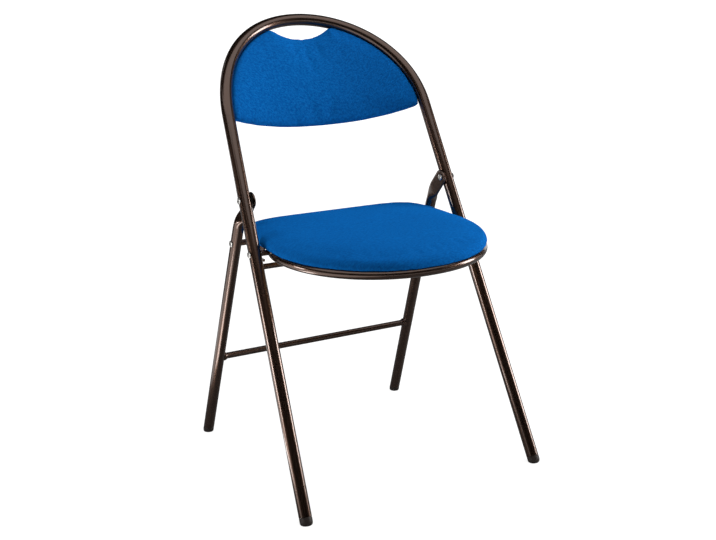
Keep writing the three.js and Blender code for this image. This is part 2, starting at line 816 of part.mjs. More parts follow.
function arcPoints(radius, from, to) {
  const points = [];
  for (let i = 0; i <= slotSteps; i += 1) {
    points.push(onArc(radius, from + ((to - from) * i) / slotSteps));
  }
  return points;
}

function slidePlate(side) {
  const inner = slideFace - slideThickness;
  const outline = [
    ...arcPoints(slotRadius + slotHalf + slideMargin, slideFront, slideRear),
    new THREE.Vector2(slideRear, ringTop),
    new THREE.Vector2(slideFront, ringTop),
  ];
  const web = sheetX(outline, side > 0 ? inner : -slideFace, slideThickness);
  const flangeReach = slideFlangeWidth + slideThickness;
  const flange = new THREE.BoxGeometry(flangeReach, slideFlangeLength, slideThickness);
  const flangeX = side * (slideFace - flangeReach / 2);
  flange.translate(flangeX, slideRear - slideFlangeLength / 2, ringTop - slideThickness / 2);
  const slot = [
    ...arcPoints(slotRadius + slotHalf, slideFront - overrun, slotEnd.x),
    ...arcPoints(slotRadius - slotHalf, slotEnd.x, slideFront - overrun),
  ];
  const slotCut = sheetX(slot, -slideFace - overrun, 2 * (slideFace + overrun));
  const slotFrom = side * (inner - overrun);
  const slotTo = side * (slideFace + overrun);
  const slotRound = rodX(slotFrom, slotTo, slotHalf, slotEnd.x, slotEnd.y, boreSides);
  const holes = slideScrewPlaces.map((place) =>
    rodAlong(place, screwShank / 2 + runningGap, -overrun, slideThickness + overrun)
  );
  return cut(join(web, solid(flange)), slotCut, slotRound, ...holes);
}

// Rivets of the two pivots that the frame carries

function legPivotRivet(side) {
  const inner = tongueOuter - 2 * legWall - seatGap;
  const outer = frameHalf(legPivotLength) + frameTube / 2 + seatGap;
  return turnedX(rivetProfile(inner, outer), side, 0, legPivotLength);
}

function legPivotWasher(side) {
  const inner = tongueOuter + seatGap;
  const hole = rivetShank / 2 + runningGap;
  const rim = rivetHead / 2 + washerThickness;
  const profile = [
    [hole, inner],
    [rim, inner],
    [rim, inner + washerThickness],
    [hole, inner + washerThickness],
    [hole, inner],
  ];
  return turnedX(profile, side, 0, legPivotLength);
}

function seatPivotRivet(side) {
  const ringInside = ringAtPivot - ringTube / 2 / Math.cos(ringTurn);
  const inner = ringInside - (rivetHead / 2) * Math.tan(ringTurn) - ringHeadGap;
  const outer = frameHalf(seatPivotLength) + frameTube / 2 + seatGap;
  return turnedX(rivetProfile(inner, outer), side, 0, seatPivotLength);
}

function frontFoot(side) {
  const place = new THREE.Matrix4()
    .makeTranslation(side * frontHalf, 0, 0)
    .multiply(new THREE.Matrix4().makeRotationY(-side * taper));
  return foot(frameTube, frameWall, place, floorBlock(-lean, 0));
}

function rearFootCap(side) {
  const place = new THREE.Matrix4()
    .makeTranslation((side * rearFeetSpacing) / 2, 0, 0)
    .multiply(new THREE.Matrix4().makeRotationY(-side * rearTaper));
  return foot(legTube, legWall, place, floorBlock(legTilt, 0));
}

// Assembly: a group for each of the three bodies, tipped as it stands with the chair open

const sides = { left: -1, right: 1 };
const chair = new THREE.Group();

const frame = new THREE.Group();
frame.rotation.x = -lean;
frame.add(piece('hoop_frame', hoopFrame(), paint));
frame.add(piece('front_crossbar', frontBar(), paint));
frame.add(piece('back_board', backBoard(), ply));
frame.add(piece('back_pad', backPad(), cloth));
backScrewPlaces.forEach((place, i) => {
  frame.add(piece(`back_screw_${i + 1}`, screw(place, tabThickness), steel));
});

const legs = new THREE.Group();
legs.rotation.x = legTilt;
legs.position.y = feetSpan;
legs.add(piece('rear_crossbar', rearBar(), paint));

const seat = new THREE.Group();
seat.rotation.x = slope;
seat.position.set(0, seatPivot.x, seatPivot.y);
seat.add(piece('seat_ring', seatRing(), paint));
seat.add(piece('seat_board', seatBoard(), ply));
seat.add(piece('seat_pad', seatPad(), cloth));
seatScrewPlaces.forEach((place, i) => {
  seat.add(piece(`seat_screw_${i + 1}`, screw(place, tabThickness), steel));
});
slideScrewPlaces.forEach((place, i) => {
  seat.add(piece(`slide_plate_screw_${i + 1}`, screw(place, slideThickness), steel));
});

Object.entries(sides).forEach(([name, side]) => {
  frame.add(piece(`front_foot_${name}`, frontFoot(side), plastic));
  frame.add(piece(`leg_pivot_rivet_${name}`, legPivotRivet(side), brightSteel));
  frame.add(piece(`leg_pivot_washer_${name}`, legPivotWasher(side), plastic));
  frame.add(piece(`seat_pivot_rivet_${name}`, seatPivotRivet(side), brightSteel));
  legs.add(piece(`rear_leg_${name}`, rearLeg(side), paint));
  legs.add(piece(`rear_foot_${name}`, rearFootCap(side), plastic));
  legs.add(piece(`slot_pin_${name}`, slotPinBody(side), brightSteel));
  seat.add(piece(`seat_bush_${name}`, seatBush(side), steel));
  seat.add(piece(`slide_plate_${name}`, slidePlate(side), steel));
});

chair.add(frame, legs, seat);

// The origin lies on the floor under the middle of the chair
const reach = new THREE.Box3().setFromObject(chair, true);
chair.position.y = -(reach.min.y + reach.max.y) / 2;

export default chair;
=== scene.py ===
"""Looks of a folding chair: a hoop of painted tube, a cloth seat on a round ring and a half-moon back pad."""

import json
import math
from types import SimpleNamespace

import bmesh
import bpy
from bpy.props import FloatProperty, FloatVectorProperty, PointerProperty
from mathutils import Matrix, Vector


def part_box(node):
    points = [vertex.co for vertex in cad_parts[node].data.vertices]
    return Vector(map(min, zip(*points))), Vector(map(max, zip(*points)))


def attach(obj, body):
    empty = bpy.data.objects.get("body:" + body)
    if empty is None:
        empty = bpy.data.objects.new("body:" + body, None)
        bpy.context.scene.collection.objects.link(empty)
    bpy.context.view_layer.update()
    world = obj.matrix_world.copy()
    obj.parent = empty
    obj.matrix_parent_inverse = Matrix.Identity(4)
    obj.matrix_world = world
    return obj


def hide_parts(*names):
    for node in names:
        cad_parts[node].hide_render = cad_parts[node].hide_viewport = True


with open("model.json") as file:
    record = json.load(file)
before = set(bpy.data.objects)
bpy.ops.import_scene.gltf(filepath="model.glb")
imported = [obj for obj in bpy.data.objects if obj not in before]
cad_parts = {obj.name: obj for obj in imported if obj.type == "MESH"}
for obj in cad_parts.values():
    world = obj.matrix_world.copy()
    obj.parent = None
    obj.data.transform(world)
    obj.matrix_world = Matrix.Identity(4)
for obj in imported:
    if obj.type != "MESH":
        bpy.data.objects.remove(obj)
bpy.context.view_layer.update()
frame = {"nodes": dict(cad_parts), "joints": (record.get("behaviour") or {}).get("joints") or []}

bl_info = {
    "name": "Folding Chair Looks",
    "version": (1, 0, 0),
    "blender": (4, 5, 0),
    "location": "View3D > Sidebar > Chair",
    "description": "Dresses the packed folding chair in paint, cloth and plastic",
    "category": "Object",
}

PIVOTS = {joint["name"]: Vector(joint["pos_m"]) for joint in frame["joints"]}
SIDES = {"left": -1, "right": 1}
WHITE = (1.0, 1.0, 1.0, 1.0)

# Counts of steps along and round the pieces
TUBE_SIDES = 40
BAR_SIDES = 32
TURNED_SIDES = 40
HOOP_STEPS = 96
STRAIGHT_STEPS = 12
RING_STEPS = 144
LEG_STEPS = 48
PAD_POINTS = 168
CORNER_STEPS = 8
RIM_STEPS = 36
DIP_STEPS = 18
LOWER_STEPS = 44
DOME_STEPS = 8
SIMULATED_FRAMES = 20

# Small lengths in metres
CLEARANCE = 0.0003
TAB_ROUNDING = 0.004
FRONT_WELD = 0.0105  # from a front tube's axis to the middle of its weld
REAR_WELD = 0.0008  # from a rear tube's skin to the middle of its weld
SLEEVE_RADIUS = 0.0055
SLEEVE_SUNK = 0.001  # how far a pin's sleeve runs into its leg
ROUND_PAST = 0.02  # fine steps go on this far past the place where a leg is fully round
BOARD_SHOWS = 0.002  # how far the seat's underside lies above its board's, so that the board shows
UNDER_SET_IN = 0.002  # how far that underside is drawn in past the sides
BOARD_COVERED = 0.0008  # how far the back pad's cloth lies behind its board
FLOOR_GAP = 0.00002

# Directions of the welded tabs, in degrees
BACK_TABS = (22, 52, 128, 158)
SEAT_TABS = (42, 138, 228, 312)

# Powers of the outlines: two is an ellipse, and a higher one is squarer
FRONT_POWER = 2.08
RING_REAR_POWER = 2.2
PAD_REAR_POWER = 6.0
TONGUE_POWER = 6
PAD_NARROWING = 0.055  # share of its width that the seat pad loses towards its rear

# A bar's end: place as a share of the weld's length, and growth of the radius
WELD = ((1.0, 0.35), (0.0, 0.42), (-0.35, 0.30), (-0.7, 0.10), (-1.0, 0.0))
WELD_SHARE = 0.45

# Profiles of the turned pieces: share of the radius, and a height or a distance from the outer end
FOOT = (
    (0.0, -1.0), (0.25, -0.97), (0.5, -0.85), (0.68, -0.62), (0.8, -0.4), (0.9, -0.02), (0.95, 0.3),
    (0.985, 0.65), (1.0, 1.0),
)
SPACER = ((1.0, 0.0042), (0.86, 0.0040), (0.86, 0.0034), (1.0, 0.0032), (1.0, 0.0004), (0.93, 0.0))

# Rows of the pads. An edge row is a share of the draw-in and a share of the side's height, and the other
# rows are the outline shrunk to a share of itself.
SEAT_UNDER = (0.25, 0.5, 0.75, 0.92, 0.98)
SEAT_EDGE = (
    (1.2, 0.0), (0.85, -0.06), (0.5, -0.19), (0.25, -0.29), (0.02, -0.3), (-0.12, -0.2), (-0.14, 0.0),
    (-0.12, 0.25), (-0.06, 0.5), (0.06, 0.78), (0.24, 0.98), (0.5, 1.12), (0.8, 1.19), (1.0, 1.22),
)
SEAT_OVER = (0.985, 0.965, 0.93, 0.88, 0.8, 0.7, 0.58, 0.44, 0.3, 0.15)
BACK_REAR = tuple(0.06 * i for i in range(1, 17))
BACK_EDGE = (
    (1.0, -0.045), (0.4, -0.02), (0.05, 0.04), (-0.12, 0.14), (-0.18, 0.32), (-0.18, 0.5), (-0.25, 0.64),
    (-0.4, 0.78), (-0.42, 0.88), (-0.2, 0.96), (0.3, 1.0), (1.0, 1.04),
)
BACK_FRONT = (0.98, 0.95, 0.9, 0.82, 0.72, 0.6, 0.5, 0.4, 0.3, 0.2, 0.1)
BACK_MIDDLE = 0.42  # height of the point that the back's rows shrink to, as a share of the rim's radius
FIRM = 0.15  # share of the swell on the firm sides and undersides of the pads
SOFT_FROM = 0.6  # share of a pad's height above which it is soft

# The camera, found from the chair's own lines in the photograph
CAMERA_TURN = (31.36, 15.64, 0.30)
CAMERA_PLACE = (-1.0947, -1.79525, 0.9310)
CAMERA_LENS = 60.42

# Lamps: name, place, aim, width, height, power, and whether gloss shows it
MIDDLE = (0.0, 0.0, 0.42)
LAMPS = (
    ("key lamp", (2.35, -0.80, 1.30), MIDDLE, 1.2, 1.4, 43.0, False),
    ("strip lamp", (2.50, -0.90, 0.95), MIDDLE, 0.8, 1.1, 34.0, True),
    ("side lamp", (-2.1, 0.45, 0.7), MIDDLE, 1.2, 0.8, 9.0, False),
    ("side strip", (-2.1, 0.45, 0.33), MIDDLE, 0.5, 0.45, 9.0, True),
    ("rear lamp", (-0.5, 2.6, 1.9), MIDDLE, 1.8, 1.8, 8.0, False),
    ("top lamp", (0.2, 0.25, 3.0), MIDDLE, 1.8, 1.8, 46.0, False),
    ("floor strip", (-0.52, 0.0, 0.02), (-0.436, 0.054, 2.0), 0.13, 0.36, 0.9, True),
)
WORLD_LIGHT = 0.16
FLOOR_GLOW = 1.25

# Flags: parts of a round wall as start and sweep in degrees, foot and top, then the squares of roof and mat
WALL_RADIUS = 3.2
WALLS = ((110, 100, 0.15, 2.4), (210, 170, 0.15, 3.1), (20, 90, 1.3, 3.1))
ROOF = (1.0, (0.0, 1.8, 3.1), (3.2, 1.4, 1.0))
MATS = ((2.2, (1.8, 0.0, 0.001)), (0.9, (-1.31, 1.75, 0.001)))


# Sizes and colours


def size(name, description, default):
    """A length in metres."""
    return FloatProperty(name=name, description=description, default=default, unit="LENGTH", precision=4)


def share(name, description, default):
    return FloatProperty(name=name, description=description, default=default, min=0.0, max=1.0)


def colour(name, description, default):
    return FloatVectorProperty(
        name=name, description=description, default=default, subtype="COLOR", min=0.0, max=1.0
    )


class FrameSizes(bpy.types.PropertyGroup):
    tube: size("Frame tube", "Diameter of the tube that runs from foot to foot", 0.022)
    feet_spacing: size("Feet spacing", "Between the axes of the front feet", 0.4763)
    hoop_radius: size("Hoop radius", "Radius of the hoop's axis", 0.2053)
    hoop_height: size("Hoop centre", "Length up the frame to the hoop's centre", 0.6965)
    bow: size("Bow", "How far the hoop's middle lies behind its sides", 0.0452)
    bar: size("Front bar", "Diameter of the bar under the seat", 0.010)
    bar_drop: size("Bar drop", "Length from the seat pivot down to the bar", 0.0209)
    bar_offset: size("Bar offset", "Distance of the bar behind the frame", 0.0135)
    tab_length: size("Tab length", "Length of a welded tab", 0.038)
    tab_width: size("Tab width", "Width of a welded tab", 0.016)
    tab_thickness: size("Tab thickness", "Thickness of a welded tab", 0.0025)


class LegSizes(bpy.types.PropertyGroup):
    tube: size("Leg tube", "Diameter of a rear leg", 0.020)
    wall: size("Wall", "Wall of a rear leg's tube", 0.0015)
    feet_spacing: size("Feet spacing", "Between the axes of the rear feet", 0.4297)
    feet_span: size("Feet span", "From the front feet to the rear feet", 0.4375)
    pivot_offset: size("Pivot offset", "Pivot forward of the leg's axis", 0.02288)
    pivot_set_in: size("Pivot set in", "Leg's axis inside the frame's at the pivot", 0.00857)
    bend_length: size("Bend length", "From the pivot down to the bend's corner", 0.056)
    bend_radius: size("Bend radius", "Radius of the bend below the pivot", 0.060)
    tongue_end: size("Tongue end", "From the pivot to the tongue's rounded end", 0.0110)
    flat_length: size("Flat length", "Length of the flattened tongue", 0.026)
    round_length: size("Round length", "From the pivot to the full round tube", 0.066)
    washer: size("Washer", "Thickness of the washer at the pivot", 0.001)
    bar: size("Rear bar", "Diameter of the bar between the rear legs", 0.012)
    bar_length: size("Rear bar place", "Length up the legs to the bar", 0.174)


class SeatSizes(bpy.types.PropertyGroup):
    ring_tube: size("Ring tube", "Diameter of the seat ring's tube", 0.016)
    ring_set_in: size("Ring set in", "Ring inside the frame's sides", 0.02405)
    ring_forward: size("Ring forward", "Ring's widest place forward of the pivot", 0.0439)
    ring_front: size("Ring front depth", "From the widest place to the front", 0.1697)
    ring_rear: size("Ring rear depth", "From the widest place to the rear", 0.1255)
    pad_set_in: size("Pad set in", "Pad inside the frame's sides", 0.01415)
    pad_forward: size("Pad forward", "Pad's widest place forward of the pivot", 0.035)
    pad_front: size("Pad front depth", "From the widest place to the front", 0.1854)
    pad_rear: size("Pad rear depth", "From the widest place to the rear", 0.1657)
    pad_side: size("Pad side", "Height of the pad's side", 0.0150)
    pad_crown: size("Pad crown", "Rise of the pad's middle over its side", 0.0075)
    pad_draw_in: size("Pad draw in", "How far the pad's edges pull in", 0.0070)
    voxel: size("Mesh size", "Size of the even mesh under the cloth", 0.0037)
    swell: size("Swell", "Most that the stuffing pushes the cloth out", 0.0022)


class BackSizes(bpy.types.PropertyGroup):
    set_in: size("Back set in", "Pad's rim inside the hoop's axis", 0.0116)
    lower_edge: size("Lower edge", "Ends of the pad's lower edge above the hoop's centre", 0.0055)
    sag: size("Sag", "How far the lower edge's middle lies under its ends", 0.0095)
    corner: size("Corner radius", "Radius of the lower corners", 0.006)
    behind: size("Behind", "Pad's back behind the tube's axis", 0.009)
    proud: size("Proud", "Pad's edge in front of the tube's axis", 0.008)
    crown: size("Crown", "Rise of the pad's middle over its edge", 0.005)
    draw_in: size("Draw in", "How far the pad's edges pull in", 0.005)
    grip_half: size("Grip half-width", "Half the width of the dip for the hand", 0.0635)
    grip_depth: size("Grip depth", "Depth of the dip for the hand", 0.0205)
    voxel: size("Mesh size", "Size of the even mesh under the cloth", 0.0030)
    swell: size("Swell", "Most that the stuffing pushes the cloth out", 0.0018)


class JointSizes(bpy.types.PropertyGroup):
    head: size("Rivet head", "Diameter of a rivet's head", 0.012)
    head_height: size("Head height", "From a rivet's end to the face its head sits on", 0.0028)
    crown: share("Crown", "Share of that height that the low domed head rises to", 0.55)
    shank: size("Shank", "Diameter of a rivet's shank", 0.006)
    bush: size("Bush", "Diameter of the spacer at the seat pivot", 0.010)
    foot_head: size("Foot head", "Height of a foot below the tube's end", 0.012)
    foot_dome: size("Foot dome", "Height of the rounded sole", 0.004)


class Finishes(bpy.types.PropertyGroup):
    paint: colour("Paint", "Metallic gloss paint of the tubes", (0.098, 0.055, 0.038))
    rivet: colour("Rivets", "Bright steel of the rivets", (0.74, 0.72, 0.69))
    cloth: colour("Cloth", "Woven cloth of the pads", (0.0050, 0.142, 0.480))
    cloth_shade: colour("Cloth shade", "Darker threads of the cloth", (0.0022, 0.062, 0.245))
    plastic: colour("Plastic", "Moulded feet and washers", (0.022, 0.015, 0.012))
    ply: colour("Plywood", "Boards inside the pads", (0.42, 0.27, 0.14))
    paint_gloss: share("Paint roughness", "Roughness of the metallic layer", 0.27)


# Places that follow from the sizes and from the frame's joints


def layout(scene):
    """The groups of sizes, the places of the three bodies, and the lengths that several pieces share."""
    at = SimpleNamespace(
        hoop=scene.chair_frame, leg=scene.chair_leg, seat=scene.chair_seat, back=scene.chair_back,
        joint=scene.chair_joint, finish=scene.chair_finish,
    )
    hoop, leg, seat = at.hoop, at.leg, at.seat
    leg_pivot, seat_pivot = PIVOTS["leg_fold"], PIVOTS["seat_fold"]
    rise = leg_pivot - seat_pivot
    lean = math.atan2(rise.y, rise.z)
    at.leg_pivot = leg_pivot.z / math.cos(lean)
    at.seat_pivot = seat_pivot.z / math.cos(lean)
    front = leg_pivot.y - leg_pivot.z * math.tan(lean)
    at.places = {"main_frame": Matrix.Translation((0, front, 0)) @ Matrix.Rotation(-lean, 4, "X")}

    half = hoop.feet_spacing / 2
    reach = math.hypot(half, hoop.hoop_height)
    at.taper = math.acos(hoop.hoop_radius / reach) - math.atan2(hoop.hoop_height, half)
    at.bend_half = hoop.hoop_radius * math.cos(at.taper)
    at.frame_half = lambda length: half - length * math.tan(at.taper)

    rear = Vector((leg_pivot.y - front - leg.feet_span, leg_pivot.z))
    tilt = math.atan2(-rear.x, rear.y) - math.asin(leg.pivot_offset / rear.length)
    rear_place = Matrix.Translation((0, front + leg.feet_span, 0)) @ Matrix.Rotation(tilt, 4, "X")
    at.places["rear_legs"] = rear_place
    at.in_leg = (rear_place.inverted() @ leg_pivot).yz
    slant = (leg.feet_spacing / 2 - at.frame_half(at.leg_pivot) + leg.pivot_set_in) / at.in_leg.y
    at.rear_taper = math.atan(slant)
    at.leg_half = lambda length: leg.feet_spacing / 2 - length * slant
    low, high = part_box("slot_pin_right")
    at.slot_pin = (rear_place.inverted() @ ((low + high) / 2)).z

    low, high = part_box("seat_ring")
    slope = math.asin((high.z - low.z - seat.ring_tube) / (seat.ring_front + seat.ring_rear))
    at.places["seat"] = Matrix.Translation(seat_pivot) @ Matrix.Rotation(slope, 4, "X")
    at.ring_half = at.frame_half(at.seat_pivot) - seat.ring_set_in
    at.pad_half = at.frame_half(at.seat_pivot) - seat.pad_set_in
    return at


def ends(node):
    """How far from the chair's middle plane a node starts and ends."""
    low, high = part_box(node)
    return sorted((abs(low.x), abs(high.x)))


def bow(at, x):
    """How far the bowed surface lies behind the frame's sides, at one place across the width."""
    return at.hoop.bow * (1 - (x / at.bend_half) ** 2)


def bow_turn(at, x):
    return math.atan(-2 * at.hoop.bow * x / at.bend_half**2)


# Mesh helpers


def unit_point(angle, power):
    """A point of a unit circle, or of a squarer shape with a power above two."""
    c, s = math.cos(angle), math.sin(angle)
    return math.copysign(abs(c) ** (2 / power), c), math.copysign(abs(s) ** (2 / power), s)


def section(place, across, up, wide, high, sides, power=2.0):
    """Points of a rounded section round a place."""
    points = []
    for i in range(sides):
        a, b = unit_point(2 * math.pi * i / sides, power)
        points.append(place + across * (a * wide) + up * (b * high))
    return points


def ring_edges(bm, ring):
    return [bm.edges.get((ring[i], ring[(i + 1) % len(ring)])) for i in range(len(ring))]


def next_ring(bm, ring, points):
    """Extrudes a ring of vertices to the next points."""
    made = bmesh.ops.extrude_edge_only(bm, edges=ring_edges(bm, ring))
    fresh = {item for item in made["geom"] if isinstance(item, bmesh.types.BMVert)}
    grown = []
    for vert, point in zip(ring, points):
        new = next(e.other_vert(vert) for e in vert.link_edges if e.other_vert(vert) in fresh)
        new.co = point
        grown.append(new)
    return grown


def loft(bm, rows, closed=False):
    """A skin through rows of points, capped at its ends or closed on itself."""
    made = bmesh.ops.create_circle(bm, cap_ends=False, segments=len(rows[0]), radius=1.0)
    start = ring = made["verts"]
    for vert, point in zip(start, rows[0]):
        vert.co = point
    for points in rows[1:]:
        ring = next_ring(bm, ring, points)
    if closed:
        bmesh.ops.bridge_loops(bm, edges=ring_edges(bm, ring) + ring_edges(bm, start))
    else:
        bmesh.ops.contextual_create(bm, geom=start)
        bmesh.ops.contextual_create(bm, geom=ring)


def spin(bm, geom, axis, angle, steps, merge):
    bmesh.ops.spin(bm, geom=geom, axis=axis, cent=(0, 0, 0), angle=angle, steps=steps, use_merge=merge)


def turned(profile, place):
    """A mesh from a profile of (radius, along) that is spun round the local X of a place."""
    bm = bmesh.new()
    verts = [bm.verts.new((along, radius, 0)) for radius, along in profile]
    edges = [bm.edges.new(pair) for pair in zip(verts, verts[1:])]
    spin(bm, verts + edges, (1, 0, 0), 2 * math.pi, TURNED_SIDES, True)
    bmesh.ops.transform(bm, matrix=place, verts=bm.verts)
    return bm


def add_tab(bm, hoop, place):
    """A welded tab with rounded corners: length on X, thickness on Y, width on Z."""
    verts = bmesh.ops.create_cube(bm, size=1.0)["verts"]
    bmesh.ops.scale(bm, vec=(hoop.tab_length, hoop.tab_thickness, hoop.tab_width), verts=verts)
    edges = {edge for vert in verts for edge in vert.link_edges}
    corners = [e for e in edges if abs(e.verts[0].co.y - e.verts[1].co.y) > 1e-6]
    made = bmesh.ops.bevel(
        bm, geom=corners, offset=TAB_ROUNDING, segments=6, profile=0.5, affect="EDGES", material=-1
    )
    whole = {vert for face in made["faces"] for vert in face.verts}
    bmesh.ops.transform(bm, matrix=place, verts=list(whole))


def add_square(bm, half, place=(0.0, 0.0, 0.0), stretch=(1.0, 1.0, 1.0)):
    matrix = Matrix.Translation(place) @ Matrix.Diagonal((*stretch, 1.0))
    bmesh.ops.create_grid(bm, x_segments=2, y_segments=2, size=half, matrix=matrix)


def clean(bm):
    bmesh.ops.remove_doubles(bm, verts=bm.verts, dist=1e-6)
    bmesh.ops.recalc_face_normals(bm, faces=bm.faces)


def add_object(name, bm, material=None):
    mesh = bpy.data.meshes.new(name)
    bm.to_mesh(mesh)
    bm.free()
    if material:
        mesh.materials.append(material)
    thing = bpy.data.objects.new(name, mesh)
    bpy.context.scene.collection.objects.link(thing)
    return thing


# Materials


def node_tree(name):
    """A material with an empty tree but for its shader and its output."""
    material = bpy.data.materials.get(name) or bpy.data.materials.new(name)
    material.use_nodes = True
    tree = material.node_tree
    tree.nodes.clear()
    output = tree.nodes.new("ShaderNodeOutputMaterial")
    shader = tree.nodes.new("ShaderNodeBsdfPrincipled")
    tree.links.new(shader.outputs["BSDF"], output.inputs["Surface"])
    return material, tree, shader


def add_node(tree, kind, values=None, links=None, **settings):
    node = tree.nodes.new(kind)
    for key, value in settings.items():
        setattr(node, key, value)
    for key, value in (values or {}).items():
        node.inputs[key].default_value = value
    for key, socket in (links or {}).items():
        tree.links.new(socket, node.inputs[key])
    return node


def place_node(tree, scale=(1.0, 1.0, 1.0), turn=(0.0, 0.0, 0.0)):
    """Object coordinates, scaled and turned."""
    coordinates = add_node(tree, "ShaderNodeTexCoord").outputs["Object"]
    values = {"Scale": scale, "Rotation": turn}
    return add_node(tree, "ShaderNodeMapping", values, {"Vector": coordinates}).outputs["Vector"]


def noise(tree, spot, scale, detail, **more):
    values = {"Scale": scale, "Detail": detail, **more}
    return add_node(tree, "ShaderNodeTexNoise", values, {"Vector": spot}).outputs["Fac"]


def maths(tree, operation, *terms):
    """A maths node on sockets and plain numbers."""
    node = add_node(tree, "ShaderNodeMath", operation=operation)
    for socket, term in zip(node.inputs, terms):
        if isinstance(term, float):
            socket.default_value = term
        else:
            tree.links.new(term, socket)
    return node.outputs["Value"]


def mix_shaders(tree, factor, first, second):
    mix = add_node(tree, "ShaderNodeMixShader", links={0: factor, 1: first, 2: second})
    return mix.outputs["Shader"]


def set_tint(tree, shader, factor, first, second):
    """Base colour that changes between two colours."""
    values = {6: (*first, 1.0), 7: (*second, 1.0)}
    mix = add_node(tree, "ShaderNodeMix", values, {"Factor": factor}, data_type="RGBA")
    tree.links.new(mix.outputs[2], shader.inputs["Base Color"])


def set_bump(tree, shader, height, strength, distance):
    bump = add_node(tree, "ShaderNodeBump", {"Strength": strength, "Distance": distance}, {"Height": height})
    tree.links.new(bump.outputs["Normal"], shader.inputs["Normal"])


def set_shader(shader, **values):
    """Constants on the shader's own sockets, named with underscores for spaces."""
    for key, value in values.items():
        shader.inputs[key.replace("_", " ")].default_value = value


def shades(tint, low, high):
    """A colour's darker and lighter forms."""
    return tuple(channel * low for channel in tint), tuple(channel * high for channel in tint)


def paint_material(finishes):
    """Dark gloss paint with a faint orange peel and slight changes of tone."""
    material, tree, shader = node_tree("brown gloss paint")
    spot = place_node(tree)
    cloud = noise(tree, spot, 14.0, 3.0)
    set_tint(tree, shader, cloud, *shades(finishes.paint, 0.86, 1.14))
    set_bump(tree, shader, noise(tree, spot, 520.0, 2.0), 0.015, 0.0003)
    gloss = {"To Min": finishes.paint_gloss * 0.9, "To Max": finishes.paint_gloss * 1.15}
    rough = add_node(tree, "ShaderNodeMapRange", gloss, {"Value": cloud})
    tree.links.new(rough.outputs["Result"], shader.inputs["Roughness"])
    set_shader(shader, Metallic=0.95, Coat_Weight=1.0, Coat_Roughness=0.1, Coat_IOR=1.5)
    return material


def steel_material(finishes):
    """The same paint on small steel fittings, with a thinner clear coat and a cloudy, uneven tone."""
    material, tree, shader = node_tree("painted steel fittings")
    cloud = noise(tree, place_node(tree), 90.0, 4.0)
    set_tint(tree, shader, cloud, *shades(finishes.paint, 0.8, 1.5))
    set_bump(tree, shader, cloud, 0.15, 0.0004)
    set_shader(shader, Metallic=0.35, Roughness=0.27, Coat_Weight=0.35, Coat_Roughness=0.1)
    return material


def rivet_material(finishes):
    """Bright bare steel with fine turning marks."""
    material, tree, shader = node_tree("bright rivet steel")
    cloud = noise(tree, place_node(tree, scale=(1.0, 3.0, 3.0)), 160.0, 3.0)
    set_tint(tree, shader, cloud, *shades(finishes.rivet, 0.8, 1.1))
    set_bump(tree, shader, cloud, 0.1, 0.0002)
    set_shader(shader, Metallic=1.0, Roughness=0.3)
    return material


def plastic_material(finishes):
    """Dull moulded plastic with a fine grain."""
    material, tree, shader = node_tree("dark moulded plastic")
    spot = place_node(tree)
    set_tint(tree, shader, noise(tree, spot, 60.0, 3.0), *shades(finishes.plastic, 0.8, 1.3))
    set_bump(tree, shader, noise(tree, spot, 900.0, 2.0), 0.25, 0.0002)
    set_shader(shader, Roughness=0.5)
    return material


def ply_material(finishes):
    """Plywood with long grain."""
    material, tree, shader = node_tree("plain plywood")
    grain = noise(tree, place_node(tree, scale=(6.0, 60.0, 40.0)), 3.0, 6.0, Distortion=0.6)
    set_tint(tree, shader, grain, *shades(finishes.ply, 0.62, 1.15))
    set_bump(tree, shader, grain, 0.2, 0.0004)
    set_shader(shader, Roughness=0.7)
    return material


def cloth_material(finishes, name, turn):
    """Woven upholstery cloth: crossed threads, short flecks and a soft, uneven tone."""
    material, tree, shader = node_tree(name)
    spot = place_node(tree, turn=turn)
    threads = []
    for direction in "XY":
        values = {"Scale": 230.0, "Distortion": 1.2, "Detail": 1.0}
        wave = add_node(tree, "ShaderNodeTexWave", values, {"Vector": spot}, bands_direction=direction)
        threads.append(wave.outputs["Fac"])
    weave = maths(tree, "MULTIPLY", *threads)
    flecks = noise(tree, place_node(tree, scale=(1.0, 2.6, 1.0), turn=turn), 210.0, 3.0, Roughness=0.6)
    spread = add_node(tree, "ShaderNodeMapRange", {"From Min": 0.34, "From Max": 0.66}, {"Value": flecks})
    spread = spread.outputs["Result"]
    raised = maths(tree, "MULTIPLY_ADD", weave, 0.25, maths(tree, "MULTIPLY", spread, 0.55))
    whole = maths(tree, "MULTIPLY_ADD", noise(tree, spot, 9.0, 2.0), 0.30, raised)
    set_tint(tree, shader, whole, finishes.cloth_shade, finishes.cloth)
    set_bump(tree, shader, maths(tree, "ADD", weave, spread), 0.35, 0.0006)
    set_shader(shader, Roughness=0.9, Specular_IOR_Level=0.0)
    set_shader(shader, Sheen_Weight=0.05, Sheen_Tint=(0.02, 0.35, 1.0, 1.0), Sheen_Roughness=0.4)
    return material


SLOTS = {
    "frame_paint": paint_material, "fittings": steel_material, "rivet_steel": rivet_material,
    "foot_plastic": plastic_material,
}


def finish_piece(at, name, bm, body, slot, node, placed=False):
    """Makes a mesh a piece in its slot's material, which rides on a body and replaces a CAD node."""
    clean(bm)
    if not placed:
        bmesh.ops.transform(bm, matrix=at.places[body], verts=bm.verts)
    piece = add_object(name, bm, SLOTS[slot](at.finish))
    piece.data.shade_smooth()
    piece.data.set_sharp_from_angle(angle=math.radians(40.0))
    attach(piece, body)
    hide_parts(node)
    return piece


# Operators


